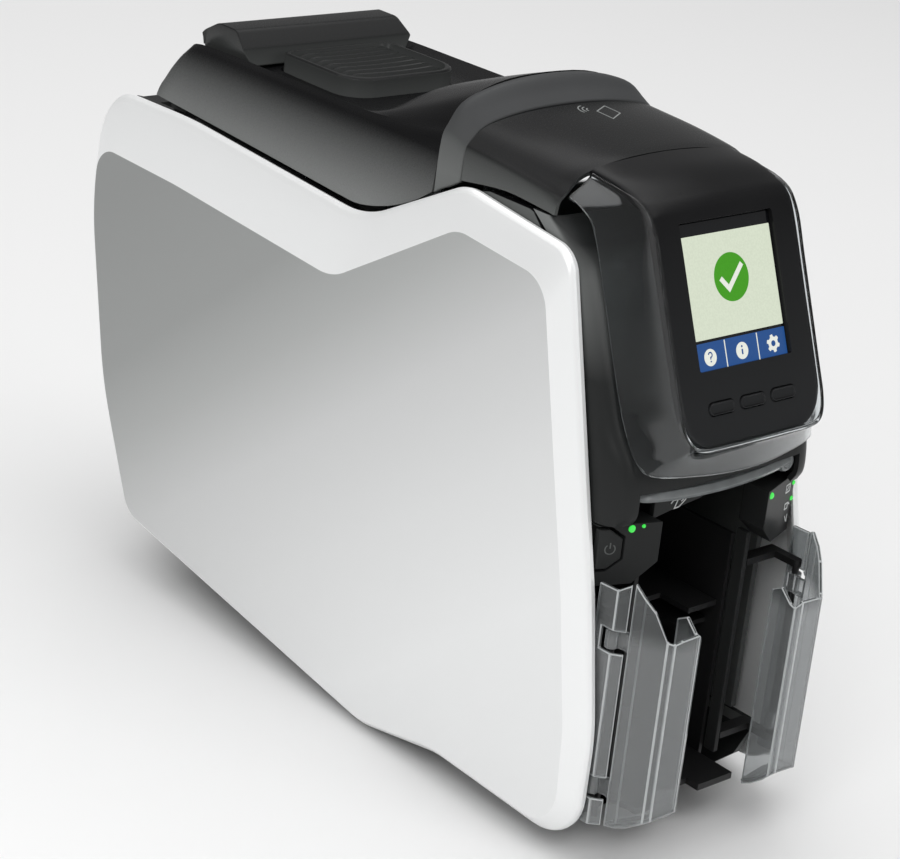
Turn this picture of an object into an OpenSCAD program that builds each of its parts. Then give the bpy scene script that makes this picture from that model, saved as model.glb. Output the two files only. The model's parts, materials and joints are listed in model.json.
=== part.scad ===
// Desktop id card printer: slim body, hinged top lid, screen nose, clear hopper covers.
// Millimetres. Front faces -Y, up is +Z, origin at the centre of the footprint on the table.

/* [Node] */
// which sub-part to draw

/* [Side panels] */
// half of the printer's width, to the flat outer face of a panel
half_width = 67.5; // [55:0.5:80]
// distance of the panels' inner edge from the centre plane
panel_seat = 58.4; // [50:0.1:70]
// height of the crest of the S-shaped top edge
crest_z = 268.5; // [220:0.5:300]
// height of the dip of the S-shaped top edge
dip_z = 230.5; // [200:0.5:260]
// points on each rounded corner of the panel outline
corner_steps = 6; // [3:1:10]

/* [Body] */
// half width of the body between the panels
body_half = 58; // [50:0.5:65]
// wall of the moulded covers
wall = 2.4; // [1.2:0.1:4]
// gap between separate mouldings
seam = 0.5; // [0.3:0.1:1.5]
// height of the tray's flat underside above the table
foot_h = 3; // [2:0.5:6]
// half width of the tray's flat underside
keel_half = 38; // [25:1:50]

/* [Lid] */
// y of the hinge axis
hinge_y = 149; // [140:0.5:160]
// z of the hinge axis
hinge_z = 243; // [235:0.5:250]
// y of the lid's front end, by the saddle
lid_front = -47; // [-60:0.5:-40]
// half width between the two ridges
ridge_x = 50; // [44:0.5:54]
// height of the ridges
ridge_z = 270.5; // [260:0.5:280]
// height of the arch at the lid's front end
arch_z = 297; // [285:0.5:305]
// hinge pin radius
pin_r = 2.5; // [1.5:0.1:4]
// radial running clearance of shafts and pins
run_fit = 0.05; // [0.02:0.01:0.1]

/* [Nose] */
// half width of the display cover
nose_half = 40.5; // [34:0.5:46]
// lean of the display cover from upright, degrees
lean = 22.3; // [10:0.05:30]
// z of the bottom edge of the display cover
nose_low = 186; // [180:0.5:195]
// screen window half width
window_half = 26.3; // [20:0.1:32]
// screen window length along the slope
window_len = 58.3; // [40:0.1:70]
// travel of a soft key
key_travel = 1; // [0.5:0.1:2]

/* [Hopper] */
// half width of the card hopper
bay_half = 29; // [28:0.5:34]
// height of the hopper floor
floor_z = 20; // [15:0.5:30]
// height of the shelf between output and input stacks
shelf_z = 80; // [60:0.5:90]
// y of the hinge pins of the clear covers
cover_pin_y = -176.5; // [-180:0.5:-172]
// x of the hinge pins of the clear covers
cover_pin_x = 53.5; // [50:0.5:55]
// wall of the clear covers
clear_wall = 2.2; // [1.5:0.1:3]
// travel of the lift plate
lift_travel = 34; // [20:1:40]

/* [Drive] */
// height of the card path
path_z = 148; // [140:0.5:155]
// radius of the driven rollers
roller_r = 8; // [6:0.5:10]
// shaft radius
shaft_r = 3; // [2:0.25:4]
// half distance between the chassis plates' inner faces
chassis_half = 32; // [30:0.5:40]
// chassis plate thickness
plate_t = 1.5; // [1:0.1:2.5]
// gear module
gear_m = 2; // [1:0.5:2]
// teeth of the shaft and idler gears
gear_n = 15; // [12:1:24]
// teeth of the motor pinion
pinion_n = 8; // [8:1:12]
// y of the first driven shaft
shaft_y0 = -72; // [-80:1:-60]
// full supply roll radius
supply_r = 17; // [12:0.5:20]
// take-up roll radius
takeup_r = 11; // [9:0.5:16]

/* [Hidden] */

mid_shift = 5.6;
pitch_r = gear_m * gear_n / 2;
pinion_r = gear_m * pinion_n / 2;
step_y = 2 * pitch_r;
shaft_z = path_z - 0.4 - roller_r;
pick_r = 9;
pick_z = path_z + 0.6 + pick_r;
pick_y = shaft_y0 - sqrt(step_y * step_y - (pick_z - shaft_z) * (pick_z - shaft_z));
plate_out = chassis_half + plate_t;
bush_r = 5;
gear_x = -40.5;
gear_w = 5;
motor_y = shaft_y0 + 3 * step_y;
motor_z = shaft_z - pitch_r - pinion_r;
nose_dir = [-sin(lean), -cos(lean)];
nose_out = [-cos(lean), sin(lean)];
nose_foot = [-189.5, nose_low];
key_s = 14.2;
window_s = 29;

// outline corners of a side panel: y, z, radius
edge = [[188.5, 237, 26], [191.5, 180, 140], [175, 92, 170], [147, 28, 16], [-42, 2.2, 40],
  [-92, 12, 50], [-178.5, 9.5, 22], [-179.5, 62, 110], [-169.5, 120, 220],
  [-137, crest_z - 13, 16], [-92, crest_z, 40], [-10, dip_z, 55], [120, dip_z + 8, 300]];
// corners of the line where its flat face turns into the bevel
crease = [[183.5, 208.8, 14], [186.5, 178, 120], [170.5, 93, 150], [144, 33, 14],
  [-43.5, 7, 38], [-93, 16.8, 48], [-171.5, 15, 18], [-169.5, 62, 100], [-159, 118, 200],
  [-134, crest_z - 25, 22], [-80, crest_z - 21, 24], [1, dip_z - 30, 30],
  [120, dip_z - 23, 300]];

function unit(v) = v / norm(v);
function mix(a, b, t) = a + (b - a) * t;
function back(v) = [for (i = [len(v) - 1:-1:0]) v[i]];
function mixes(a, b, t) = [for (i = [0:len(a) - 1]) mix(a[i], b[i], t)];

// arc that rounds corner v between p and q
function fillet(p, v, q, r, n) =
  let (a = unit(p - v), b = unit(q - v), h = acos(a * b) / 2,
       c = v + unit(a + b) * r / sin(h), s = v + a * r / tan(h), e = v + b * r / tan(h),
       a0 = atan2(s[1] - c[1], s[0] - c[0]), a1 = atan2(e[1] - c[1], e[0] - c[0]),
       w = a1 - a0, d = w > 180 ? w - 360 : w < -180 ? w + 360 : w)
  [for (i = [0:n]) c + r * [cos(a0 + d * i / n), sin(a0 + d * i / n)]];

function outline(vs, n) =
  let (m = len(vs))
  [for (k = [0:m - 1])
    each fillet([vs[(k + m - 1) % m][0], vs[(k + m - 1) % m][1]], [vs[k][0], vs[k][1]],
                [vs[(k + 1) % m][0], vs[(k + 1) % m][1]], vs[k][2], n)];

edge_ring = outline(edge, corner_steps);
crease_ring = outline(crease, corner_steps);
function panel_ring(t, x) = [for (p = mixes(edge_ring, crease_ring, t)) [x, p[0], p[1]]];

// moves the model so that its footprint is centred on the origin
module centred() translate([0, mid_shift, 0]) children();

// closed loops of points, skinned, with flat ends
module loft(rings) {
  n = len(rings[0]);
  m = len(rings);
  polyhedron(
    points = [for (r = rings) each r],
    faces = concat(
      [[for (k = [0:n - 1]) k]],
      [for (i = [0:m - 2], k = [0:n - 1]) [i * n + k, (i + 1) * n + k, (i + 1) * n + (k + 1) % n]],
      [for (i = [0:m - 2], k = [0:n - 1]) [i * n + k, (i + 1) * n + (k + 1) % n, i * n + (k + 1) % n]],
      [[for (k = [0:n - 1]) (m - 1) * n + n - 1 - k]]));
}

// the same with ends fanned from a point at y, z, for outlines that turn inwards
module fan_loft(rings, hub) {
  n = len(rings[0]);
  m = len(rings);
  polyhedron(
    points = concat([for (r = rings) each r],
                    [[rings[0][0][0], hub[0], hub[1]], [rings[m - 1][0][0], hub[0], hub[1]]]),
    faces = concat(
      [for (k = [0:n - 1]) [n * m, k, (k + 1) % n]],
      [for (i = [0:m - 2], k = [0:n - 1]) [i * n + k, (i + 1) * n + k, (i + 1) * n + (k + 1) % n]],
      [for (i = [0:m - 2], k = [0:n - 1]) [i * n + k, (i + 1) * n + (k + 1) % n, i * n + (k + 1) % n]],
      [for (k = [0:n - 1]) [n * m + 1, (m - 1) * n + (k + 1) % n, (m - 1) * n + k]]));
}

// an open strip with an inner face, skinned from section to section
module sheet_loft(outs, ins) {
  n = len(outs[0]);
  m = len(outs);
  w = 2 * n;
  e = (m - 1) * w;
  polyhedron(
    points = [for (i = [0:m - 1]) each concat(outs[i], [for (k = [n - 1:-1:0]) ins[i][k]])],
    faces = concat(
      [for (k = [0:n - 2]) each [[k, k + 1, w - 2 - k], [k, w - 2 - k, w - 1 - k]]],
      [for (i = [0:m - 2], k = [0:w - 1]) [i * w + k, (i + 1) * w + k, (i + 1) * w + (k + 1) % w]],
      [for (i = [0:m - 2], k = [0:w - 1]) [i * w + k, (i + 1) * w + (k + 1) % w, i * w + (k + 1) % w]],
      [for (k = [0:n - 2]) each
        [[e + k + 1, e + k, e + w - 1 - k], [e + k + 1, e + w - 1 - k, e + w - 2 - k]]]));
}

// profile given as y, z, drawn out along x
module along_x(x0, x1, pts) {
  translate([x0, 0, 0]) rotate([90, 0, 90]) linear_extrude(x1 - x0) polygon(pts);
}

module rod_x(x0, x1, y, z, r, n = 40) {
  translate([x0, y, z]) rotate([0, 90, 0]) cylinder(r = r, h = x1 - x0, $fn = n);
}

// spur gear about x, teeth as plain trapezoids with backlash
module gear_x_at(y, z, teeth, turn) {
  rp = gear_m * teeth / 2;
  ra = rp + 0.7 * gear_m;
  rd = rp - 1.1 * gear_m;
  a = 360 / teeth;
  translate([gear_x, y, z]) rotate([0, 90, 0]) rotate([0, 0, turn])
    linear_extrude(gear_w) polygon([for (i = [0:teeth - 1]) each [
      rd * [cos(a * (i - 0.26)), sin(a * (i - 0.26))],
      ra * [cos(a * (i - 0.09)), sin(a * (i - 0.09))],
      ra * [cos(a * (i + 0.09)), sin(a * (i + 0.09))],
      rd * [cos(a * (i + 0.26)), sin(a * (i + 0.26))]]]);
}

// ---- shells ----

module panel_shell() {
  fan_loft([panel_ring(1, half_width), panel_ring(0.55, half_width - 2), panel_ring(0.12, 62.8),
            panel_ring(0, 60.8), panel_ring(0.03, panel_seat), panel_ring(0.17, panel_seat),
            panel_ring(0.21, 60.4), panel_ring(0.6, half_width - 4.6),
            panel_ring(0.97, half_width - wall)], [20, 110]);
}

module left_side_panel() color("silver") mirror([1, 0, 0]) panel_shell();

module right_side_panel() color("silver") panel_shell();

module base_tray() color("#202020") {
  section = [[-body_half, 30], [-body_half, 24], [-keel_half, foot_h], [keel_half, foot_h],
    [body_half, 24], [body_half, 30], [body_half - wall, 30], [body_half - wall, 25],
    [keel_half - 1, foot_h + wall], [1 - keel_half, foot_h + wall], [wall - body_half, 25],
    [wall - body_half, 30]];
  intersection() {
    translate([0, 140, 0]) rotate([90, 0, 0]) linear_extrude(304) polygon(section);
    along_x(-60, 60, [[-164, 16], [-150, foot_h - 1], [110, foot_h - 1], [140, 24], [140, 40],
      [-164, 40]]);
  }
  // slanted tail
  intersection() {
    translate([0, 145, 0]) rotate([90, 0, 0]) linear_extrude(50)
      polygon([[-body_half, 30], [-body_half, 24], [-keel_half, foot_h], [keel_half, foot_h],
        [body_half, 24], [body_half, 30]]);
    along_x(-60, 60, [[108, foot_h - 1], [110, foot_h - 1], [145, 27.7], [145, 30], [141, 30],
      [108, foot_h + wall]]);
  }
}

module feet() color("#151515")
  for (x = [-28, 28], y = [-132, 92])
    translate([x, y, 0]) cylinder(r1 = 7, r2 = 8, h = foot_h - 0.02, $fn = 40);

// inner side walls that carry the panels and show as the black strip under the lid
module body_liner() color("#1a1a1a")
  for (s = [-1, 1])
    difference() {
      intersection() {
        translate([s > 0 ? body_half - 3 : -body_half, 0, 0]) rotate([90, 0, 90])
          linear_extrude(3) polygon([for (p = edge_ring) [p[0], min(p[1] - 1.2, 262)]]);
        along_x(-body_half - 2, body_half + 2, [[-152, 31], [-152, 150], [-148, 166], [-142.5, 188], [-138.5, 205],
          [-129, 238], [-121, 250], [-107, 263], [179, 263], [179, 31]]);
      }
      translate([s * body_half - 5, 120, 60]) cube([10, 40, 40]);
      translate([s * body_half - 5, -60, 40]) cube([10, 150, 60]);
    }

module rear_cover() color("#222222") {
  skin = [[179.2, 31], [181.5, 92], [184.5, 130], [186.3, 180], [182, 225], [168, 235.5],
    [154.5, 235.5], [154.5, 233], [167, 233], [179.6, 223.6], [183.7, 180], [181.9, 130],
    [178.8, 92], [171, 31]];
  difference() {
    union() {
      along_x(-body_half + 3.2, body_half - 3.2, [[147, 31], [179.2, 72], [181.5, 92],
        [184.5, 130], [186.3, 180], [182, 225], [168, 235.5], [156, 235.5], [156, 233],
        [167, 233], [179.6, 223.6], [183.7, 180], [181.9, 130], [178.8, 92], [176.6, 73],
        [146, 34]]);
      for (x = [-47, 39]) translate([x, 143, 226]) cube([8, 12, 9.5]);
    }
    // louvres for the fan and the supply
    for (i = [0:6]) translate([-24, 172, 136 + i * 9]) cube([48, 30, 4]);
    translate([-50, 160, 92]) cube([22, 40, 18]);
    translate([8, 160, 88]) cube([38, 40, 20]);
  }
}

module power_inlet() color("#101010") difference() {
  translate([-49.5, 166, 92.5]) cube([21, 16, 17]);
  translate([-39, 176, 101]) rotate([-90, 0, 0]) cylinder(r = 5.5, h = 10, $fn = 40);
}

module data_ports() color("#8a8d90") {
  difference() {
    translate([8.4, 166, 88.4]) cube([15, 15, 19.2]);
    translate([10.5, 172, 91.5]) cube([10.8, 12, 10]);
  }
  difference() {
    translate([24, 166, 88.4]) cube([21.6, 15, 19.2]);
    translate([27.5, 172, 91]) cube([14, 12, 12]);
  }
}

// the black front that stands between the panels, behind the nose
function bezel_half(s, d) =
  let (ye = s[1], yf = s[2])
  [[body_half - 0.4 - 0.9 * d, ye + 8], [body_half - 0.4 - 0.9 * d, ye + d],
   [body_half - 2 - 0.7 * d, mix(ye, yf, 0.45) + d],
   [body_half - 6 - 0.4 * d, mix(ye, yf, 0.85) + d], [body_half - 12 - 0.3 * d, yf + d]];
function bezel_row(s, d) =
  let (h = bezel_half(s, d))
  concat([for (p = h) [-p[0], p[1], s[0]]], [for (i = [4:-1:0]) [h[i][0], h[i][1], s[0]]]);

module front_bezel() color("#1c1c1c") {
  rows = [[262.5, -116, -120], [258, -122, -128], [250, -131.5, -137], [238, -138, -143.5],
    [205, -147.5, -156.5], [188, -151.5, -163.5], [176, -154.5, -171.5], [166, -157, -174.5],
    [155, -159.5, -175], [149.5, -161, -172]];
  difference() {
    sheet_loft(back([for (s = rows) bezel_row(s, 0)]), back([for (s = rows) bezel_row(s, 3)]));
    translate([-15, -170, 222]) cube([30, 60, 12]);
    translate([0, -166, 0]) rotate([90, 0, 0]) linear_extrude(40)
      polygon(concat([[-46, 140]], [for (i = [-8:8]) [i * 5.75, lens_z(i) + 3.7]], [[46, 140]]));
  }
}

// right-hand cheek: block beside the card bay, its face turned outwards, posts below
module cheek_block() difference() {
  union() {
    intersection() {
      translate([0, -159, 0]) rotate([90, 0, 0]) linear_extrude(20)
        polygon([[bay_half + 2, 148.9], [57.6, 148.9], [57.6, 122.5], [41, 122.5],
          [bay_half + 2, 131.5]]);
      translate([0, 0, 100]) linear_extrude(60) polygon(cheek_plan(0, bay_half + 2, 57.6));
    }
    translate([bay_half + 2.2, -166, 22]) cube([2.5, 6, 105]);
  }
  translate([41, -163, 145]) rotate([90, 0, 0]) cylinder(r = 1.7, h = 20, $fn = 24);
  translate([37, -163, 147]) rotate([90, 0, 0]) cylinder(r = 0.8, h = 20, $fn = 20);
}

// plan of the turned face between two x, standing proud by p
function cheek_y(x, p) = -174.5 - p + (x - bay_half - 2) * 0.357;
function cheek_plan(p, x0, x1) = [[x0, -160], [x0, cheek_y(x0, p)], [x1, cheek_y(x1, p)],
  [x1, -160]];

module left_cheek() difference() {
  mirror([1, 0, 0]) cheek_block();
  translate([0, -150, 0]) rotate([90, 0, 0]) linear_extrude(40)
    polygon([[-57, 129], [-57, 148.4], [-52.3, 148.4], [-46, 143.3], [-46, 133.7],
      [-52.3, 129]]);
}

module right_cheek() difference() {
  cheek_block();
  for (z = [137, 144]) translate([55, -160, z]) rotate([90, 0, 0]) cylinder(r = 1.1, h = 20, $fn = 20);
}

module front_cheeks() color("#1c1c1c") {
  left_cheek();
  right_cheek();
}

// arch section at one y: flank foot, flank, shoulder and crown, outside or inside
function arch(y, xl, zl, xs, zs, zc, t) =
  let (half = t == 0
         ? [[xl, zl], [mix(xl, xs, 0.3), mix(zl, zs, 0.55)], [xs + 0.5, mix(zl, zs, 0.85)],
            [xs - 1.5, zs], [xs - 7, mix(zs, zc, 0.45)], [xs * 0.68, mix(zs, zc, 0.7)],
            [xs * 0.38, mix(zs, zc, 0.92)]]
         : [[xl - t, zl], [mix(xl, xs, 0.3) - t, mix(zl, zs, 0.5)],
            [xs + 0.3 - t, mix(zl, zs, 0.8)], [xs - 1.7 - t, zs - t],
            [xs - 7.5, mix(zs, zc, 0.45) - t - 0.4], [xs * 0.66, mix(zs, zc, 0.7) - t],
            [xs * 0.37, mix(zs, zc, 0.92) - t]])
  concat([for (p = half) [p[0], y, p[1]]], [[0, y, zc - t]],
         [for (i = [len(half) - 1:-1:0]) [-half[i][0], y, half[i][1]]]);

module arches(rows) sheet_loft(
  [for (r = rows) arch(r[0], r[1], r[2], r[3], r[4], r[5], 0)],
  [for (r = rows) arch(r[0], r[1], r[2], r[3], r[4], r[5], wall)]);

module saddle_collar() color("#3a3b3d")
  arches([[-47.7, 57.4, 251, 55.5, 279, arch_z], [-52, 57.4, 254, 55.5, 279.5, arch_z - 0.5],
    [-57, 57.3, 256.5, 55.3, 278.5, arch_z - 5], [-63, 57.2, 260, 55, 276.5, arch_z - 9]]);

module front_top_housing() color("#1b1b1b")
  arches([[-63.6, 56.9, 261, 55.8, 276.5, arch_z - 9.5], [-90, 57.2, 264.5, 56, 274.5, arch_z - 11],
    [-112, 57.2, 263.6, 55.5, 271.8, arch_z - 13], [-119.2, 57, 262.9, 54, 270.4, arch_z - 14]]);

// section across the nose: centre line point, normal, half width, crown, depth
function nose_row(y, z, ny, nz, w, crown, t) =
  [for (x = [-1, -0.93, -0.6, 0, 0.6, 0.93, 1])
    let (c = crown * (1 - x * x) - (t > 0 ? t : abs(x) == 1 ? 1.2 : 0))
    [x * (w - t / 10), y + ny * c, z + nz * c]];

// local frame of the leaning face: x across, y up the slope, z out of the face
module rotate_nose()
  translate([0, nose_foot[0], nose_foot[1]]) rotate([90 - lean, 0, 0]) children();

module display_cover() color("#161616") difference() {
  rows = concat(
    [[-119.9, 279.8, 0, 1, nose_half, 3.2], [-135, 278, -0.1, 0.99, nose_half, 2.6],
     [-145.5, 275, -0.35, 0.94, nose_half, 1.8], [-151.7, 272.2, -0.6, 0.8, nose_half, 1]],
    [for (q = [[84, 0, 0.4], [20, 0, 0.3], [10, 1.5, 0.2], [3.5, 5.5, 0], [0, 11, 0]])
      [nose_foot[0] + tan(lean) * q[0], nose_low + q[0], nose_out[0], nose_out[1],
       nose_half - q[1], q[2]]]);
  sheet_loft(back([for (r = rows) nose_row(r[0], r[1], r[2], r[3], r[4], r[5], 0)]),
             back([for (r = rows) nose_row(r[0], r[1], r[2], r[3], r[4], r[5], 3)]));
  rotate_nose() {
    translate([-window_half, window_s, -8]) cube([2 * window_half, window_len, 20]);
    for (x = [-17.3, 0, 17.3]) translate([x - 6.3, key_s - 2.6, -8]) cube([12.6, 5.2, 20]);
  }
}

module screen_module() color("#0d1512") rotate_nose()
  translate([-window_half - 3, window_s - 2, -9.5]) cube([2 * window_half + 6, window_len + 4, 6.2]);

module screen_glass() color("#dfe9d4") rotate_nose()
  translate([-window_half + 0.4, window_s + 0.4, -3.2])
    cube([2 * window_half - 0.8, window_len - 0.8, 1.6]);

module soft_key(x) rotate_nose() {
  translate([x - 5.9, key_s - 2.2, -3.6]) cube([11.8, 4.4, 4.4]);
  translate([x - 7.5, key_s - 3.8, -5.2]) cube([15, 7.6, 1.6]);
}

module soft_key_left() color("#0a0a0a") soft_key(-17.3);

module soft_key_middle() color("#0a0a0a") soft_key(0);

module soft_key_right() color("#0a0a0a") soft_key(17.3);

// clear hood that wraps the nose: pairs of outer and inner edge points
hood = [[[52, -120.4, 270.4], [nose_half + 0.4, -120.8, 279]],
  [[51, -128, 267.5], [nose_half + 0.4, -147, 275]],
  [[50.6, -135.5, 260], [nose_half + 0.4, -157.5, 266.5]],
  [[50.4, -144.5, 238], [nose_half + 0.4, -166, 246.5]],
  [[50.2, -158, 203], [nose_half + 0.4, -181, 209]], [[50, -165.5, 187], [nose_half + 0.1, -187, 194]],
  [[49.5, -173, 177], [nose_half - 4, -190.8, 187]], [[45, -179.5, 172.5], [29, -192, 184.8]],
  [[22, -184.5, 170.5], [15, -192.4, 184.6]], [[0, -186.5, 170], [0, -192.6, 184.6]]];
module clear_shroud() color([0.8, 0.85, 0.85, 0.4]) {
  m = len(hood) - 1;
  path = concat(hood, [for (i = [m - 1:-1:0]) [for (q = hood[i]) [-q[0], q[1], q[2]]]]);
  loft([for (i = [0:2 * m])
    let (p = path[i], along = path[min(i + 1, 2 * m)][0] - path[max(i - 1, 0)][0],
         out = unit(cross(along, p[1] - p[0])), lip = mix(p[0], p[1], 0.8) + 1.2 * out)
    [p[0], lip, p[1], p[1] - 1.8 * out, mix(p[0], p[1], 0.8) - 1.2 * out, p[0] - 1.8 * out]]);
}

function lens_z(i) = 160.2 - 1.6 * (1 - i * i / 64);
module slot_lens() color([0.75, 0.8, 0.8, 0.5]) {
  loft([for (i = [-8:8])
    let (x = i * 5.6, y = -173 - 4 * (1 - i * i / 64), z = lens_z(i))
    [[x, y + 8, z + 3.2], [x, y, z + 3.2], [x, y - 1, z], [x, y, z - 3.2], [x, y + 8, z - 3.2]]]);
}

module status_lights() color("#2fbf45") {
  for (s = [-1, 1]) {
    translate([s * 41, cheek_y(41, 0.5), 145]) rotate([-90, 0, 0]) cylinder(r = 1.6, h = 3, $fn = 24);
    translate([s * 37, cheek_y(37, 0.5), 147]) rotate([-90, 0, 0]) cylinder(r = 0.7, h = 3, $fn = 20);
  }
  for (z = [137, 144]) translate([55, cheek_y(55, 0.4), z]) rotate([-90, 0, 0])
    cylinder(r = 1, h = 3, $fn = 20);
}

module power_button() color("#232323") mirror([1, 0, 0]) intersection() {
  translate([0, -162, 0]) rotate([90, 0, 0]) linear_extrude(20)
    polygon([[56.6, 129.5], [56.6, 147.9], [52.5, 147.9], [46.5, 143], [46.5, 134], [52.5, 129.5]]);
  translate([0, 0, 100]) linear_extrude(60) polygon(cheek_plan(0.6, 45, 58));
}

module hopper_bay() color("#141414") difference() {
  union() {
    for (s = [-1, 1]) translate([s > 0 ? bay_half : -bay_half - 1.8, -159.5, foot_h + wall + 0.3])
      cube([1.8, 57.5, 118.8]);
    translate([-bay_half, -104, 21]) cube([2 * bay_half, 2, 103.5]);
    translate([-bay_half, -152, shelf_z]) cube([2 * bay_half, 48, 2]);
  }
  translate([-12, -160, shelf_z - 1]) cube([24, 22, 4]);
}

module hopper_floor() color("#171717") difference() {
  translate([-bay_half + 0.3, -180, floor_z - 3]) cube([2 * bay_half - 0.6, 75, 3]);
  translate([-8, -185, floor_z - 4]) cube([16, 12, 6]);
}

// clear cover: side wall, front wall, floor; drawn for the left side
module hopper_cover() {
  t = clear_wall;
  intersection() {
    translate([0, 0, 10]) linear_extrude(120)
      polygon([[-53.4, -180.2], [-43.4, -198.2], [-40.5, -201.3], [-27, -202], [-27, -202 + t],
        [-39.6, -201.1 + t], [-41.6, -197.4], [-51.2, -180.2]]);
    along_x(-60, -20, [[-178, 124.5], [-181, 122.5], [-190, 115], [-195, 113.5], [-203, 107],
      [-203, 48], [-199, 30], [-193, 17], [-178, 17]]);
  }
  intersection() {
    translate([0, 0, 17]) linear_extrude(t)
      polygon([[-53, -180.2], [-43, -198.5], [-19, -199.5], [-19, -186], [-24, -180.2]]);
    along_x(-60, -10, [[-170, 40], [-203, 40], [-193, 17], [-170, 17]]);
  }
  difference() {
    for (z = [34, 100]) {
      translate([-cover_pin_x, cover_pin_y, z]) cylinder(r = 3.2, h = 8, $fn = 40);
      translate([-cover_pin_x - 1.5, -180.8, z]) cube([3.6, 4.4, 8]);
    }
    translate([-cover_pin_x, cover_pin_y, 20]) cylinder(r = 1.5 + run_fit, h = 100, $fn = 40);
  }
}

module left_hopper_cover() color([0.75, 0.78, 0.8, 0.35]) hopper_cover();

module right_hopper_cover() color([0.75, 0.78, 0.8, 0.35]) mirror([1, 0, 0]) hopper_cover();

module cover_hinge_pins()
  for (s = [-1, 1]) {
    translate([s * cover_pin_x, cover_pin_y, 28]) cylinder(r = 1.5, h = 86, $fn = 40);
    for (z = [28, 111]) {
      translate([s > 0 ? 34 : -55.4, -166, z]) cube([21.4, 6, 3]);
      translate([s > 0 ? 51.4 : -55.6, cover_pin_y, z]) cube([4.2, 16, 3]);
      translate([s * cover_pin_x, cover_pin_y, z]) cylinder(r = 2.1, h = 3, $fn = 40);
    }
  }

module lift_plate() color("#2b2b2b") {
  difference() {
    translate([-bay_half + 0.35, -157, shelf_z + 10]) cube([2 * bay_half - 0.7, 50, 2.4]);
    translate([-12, -160, shelf_z]) cube([24, 20, 20]);
  }
}

module lift_spring() color("#a0a3a6")
  for (s = [-1, 1])
    translate([s * 18, -122, shelf_z + 3.1]) for (i = [0:3]) translate([0, 0, i * 1.9])
      rotate_extrude($fn = 32) translate([6, 0]) circle(r = 0.8, $fn = 16);

// ---- lid ----

// lid section at one y: foot, flank, ridge and recess, outside or inside
function lid_row(y, zl, zr, zf, zc, t) =
  let (half = t == 0
         ? [[57.4, zl], [55.6, mix(zl, zr, 0.45)], [52.6, mix(zl, zr, 0.86)], [ridge_x, zr],
            [ridge_x - 5, mix(zr, zf, 0.35)], [ridge_x - 11, zf], [22, mix(zf, zc, 0.8)]]
         : [[57.4 - t, zl], [55.6 - t, mix(zl, zr, 0.42)], [52.4 - t, mix(zl, zr, 0.8)],
            [ridge_x - t, zr - t - 0.6], [ridge_x - 6, mix(zr, zf, 0.35) - t],
            [ridge_x - 12, zf - t], [21, mix(zf, zc, 0.8) - t]])
  concat([for (p = half) [p[0], y, p[1]]], [[0, y, zc - t]],
         [for (i = [len(half) - 1:-1:0]) [-half[i][0], y, half[i][1]]]);

module lid() color("#1f1f20") {
  rows = [[lid_front, 251.5, 278, 291, arch_z], [-36, 244.5, 276, 287, arch_z - 3.5],
    [-20, 237.5, 273.5, 281, arch_z - 9], [-2, 233, 271.4, 274.5, arch_z - 16],
    [12, 233, 270.6, 267.5, 271], [26, 233.8, ridge_z, 265.5, 266], [60, 235.8, ridge_z, 265, 265],
    [100, 238, ridge_z, 265.5, 266], [130, 239.6, ridge_z - 1, 266.5, 267],
    [138, 240, ridge_z - 4.5, 264.5, 265], [146, 240.4, 258, 258, 258.5],
    [152.5, 240.8, 248.5, 249.5, 250]];
  difference() {
    union() {
      sheet_loft(back([for (r = rows) lid_row(r[0], r[1], r[2], r[3], r[4], 0)]),
                 back([for (r = rows) lid_row(r[0], r[1], r[2], r[3], r[4], wall)]));
      for (x = [-38.6, 29.4]) translate([x, 144.5, hinge_z - 3.6]) cube([9.2, 7, 9.4]);
    }
    translate([-32.35, 39.1, 255]) cube([64.7, 56.3, 30]);
    for (x = [-40, 28]) rod_x(x, x + 12, hinge_y, hinge_z, pin_r + 3 * run_fit);
  }
}

module lid_rear_bar() color("#1d1d1e")
  intersection() {
    along_x(-48, 48, [[99.5, 266.6], [103, 277.5], [108, 280.5], [122, 281], [129, 276],
      [133, 267.3]]);
    translate([0, 140, 0]) rotate([90, 0, 0]) linear_extrude(60)
      polygon([[-39, 266.6], [-45.6, 270.2], [-50, 271.3], [-47, 282], [47, 282], [50, 271.3],
        [45.6, 270.2], [39, 266.6]]);
  }

module lid_frame() color("#2a2a2b") {
  for (s = [-1, 1]) translate([s > 0 ? 43.6 : -46, -30, 246]) cube([2.4, 160, 19.6]);
  translate([-43.6, 118, 250]) cube([87.2, 2.4, 10]);
  translate([-43.6, 12, 248]) cube([87.2, 2.4, 12]);
  difference() {
    translate([-43.6, 34, 254.5]) cube([87.2, 66, 2]);
    translate([-8, 60, 250]) cube([16, 16, 10]);
  }
  for (s = [-1, 1]) translate([s > 0 ? 5 : -8.4, 59, 244]) {
    cube([3.4, 18, 10.5]);
    cube([3.4, 0.9, 12.5]);
  }
  rod_x(-6, 6, 68, 248, 1.5);
}

module release_pad() color("#19191a") difference() {
  union() {
    intersection() {
      translate([0, 0, 262.5]) linear_extrude(9)
        polygon([[-32, 95], [-32, 52], [-28, 44], [-20, 39.5], [20, 39.5], [28, 44], [32, 52],
          [32, 95]]);
      along_x(-40, 40, [[36, 262.5], [36, 268.5], [46, 270], [80, 270.8], [98, 269], [98, 262.5]]);
    }
    translate([-5, 64, 257.5]) cube([10, 8, 6]);
  }
  for (i = [0:5]) translate([-26, 50 + i * 7, 269.4]) cube([52, 2.2, 4]);
}

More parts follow.
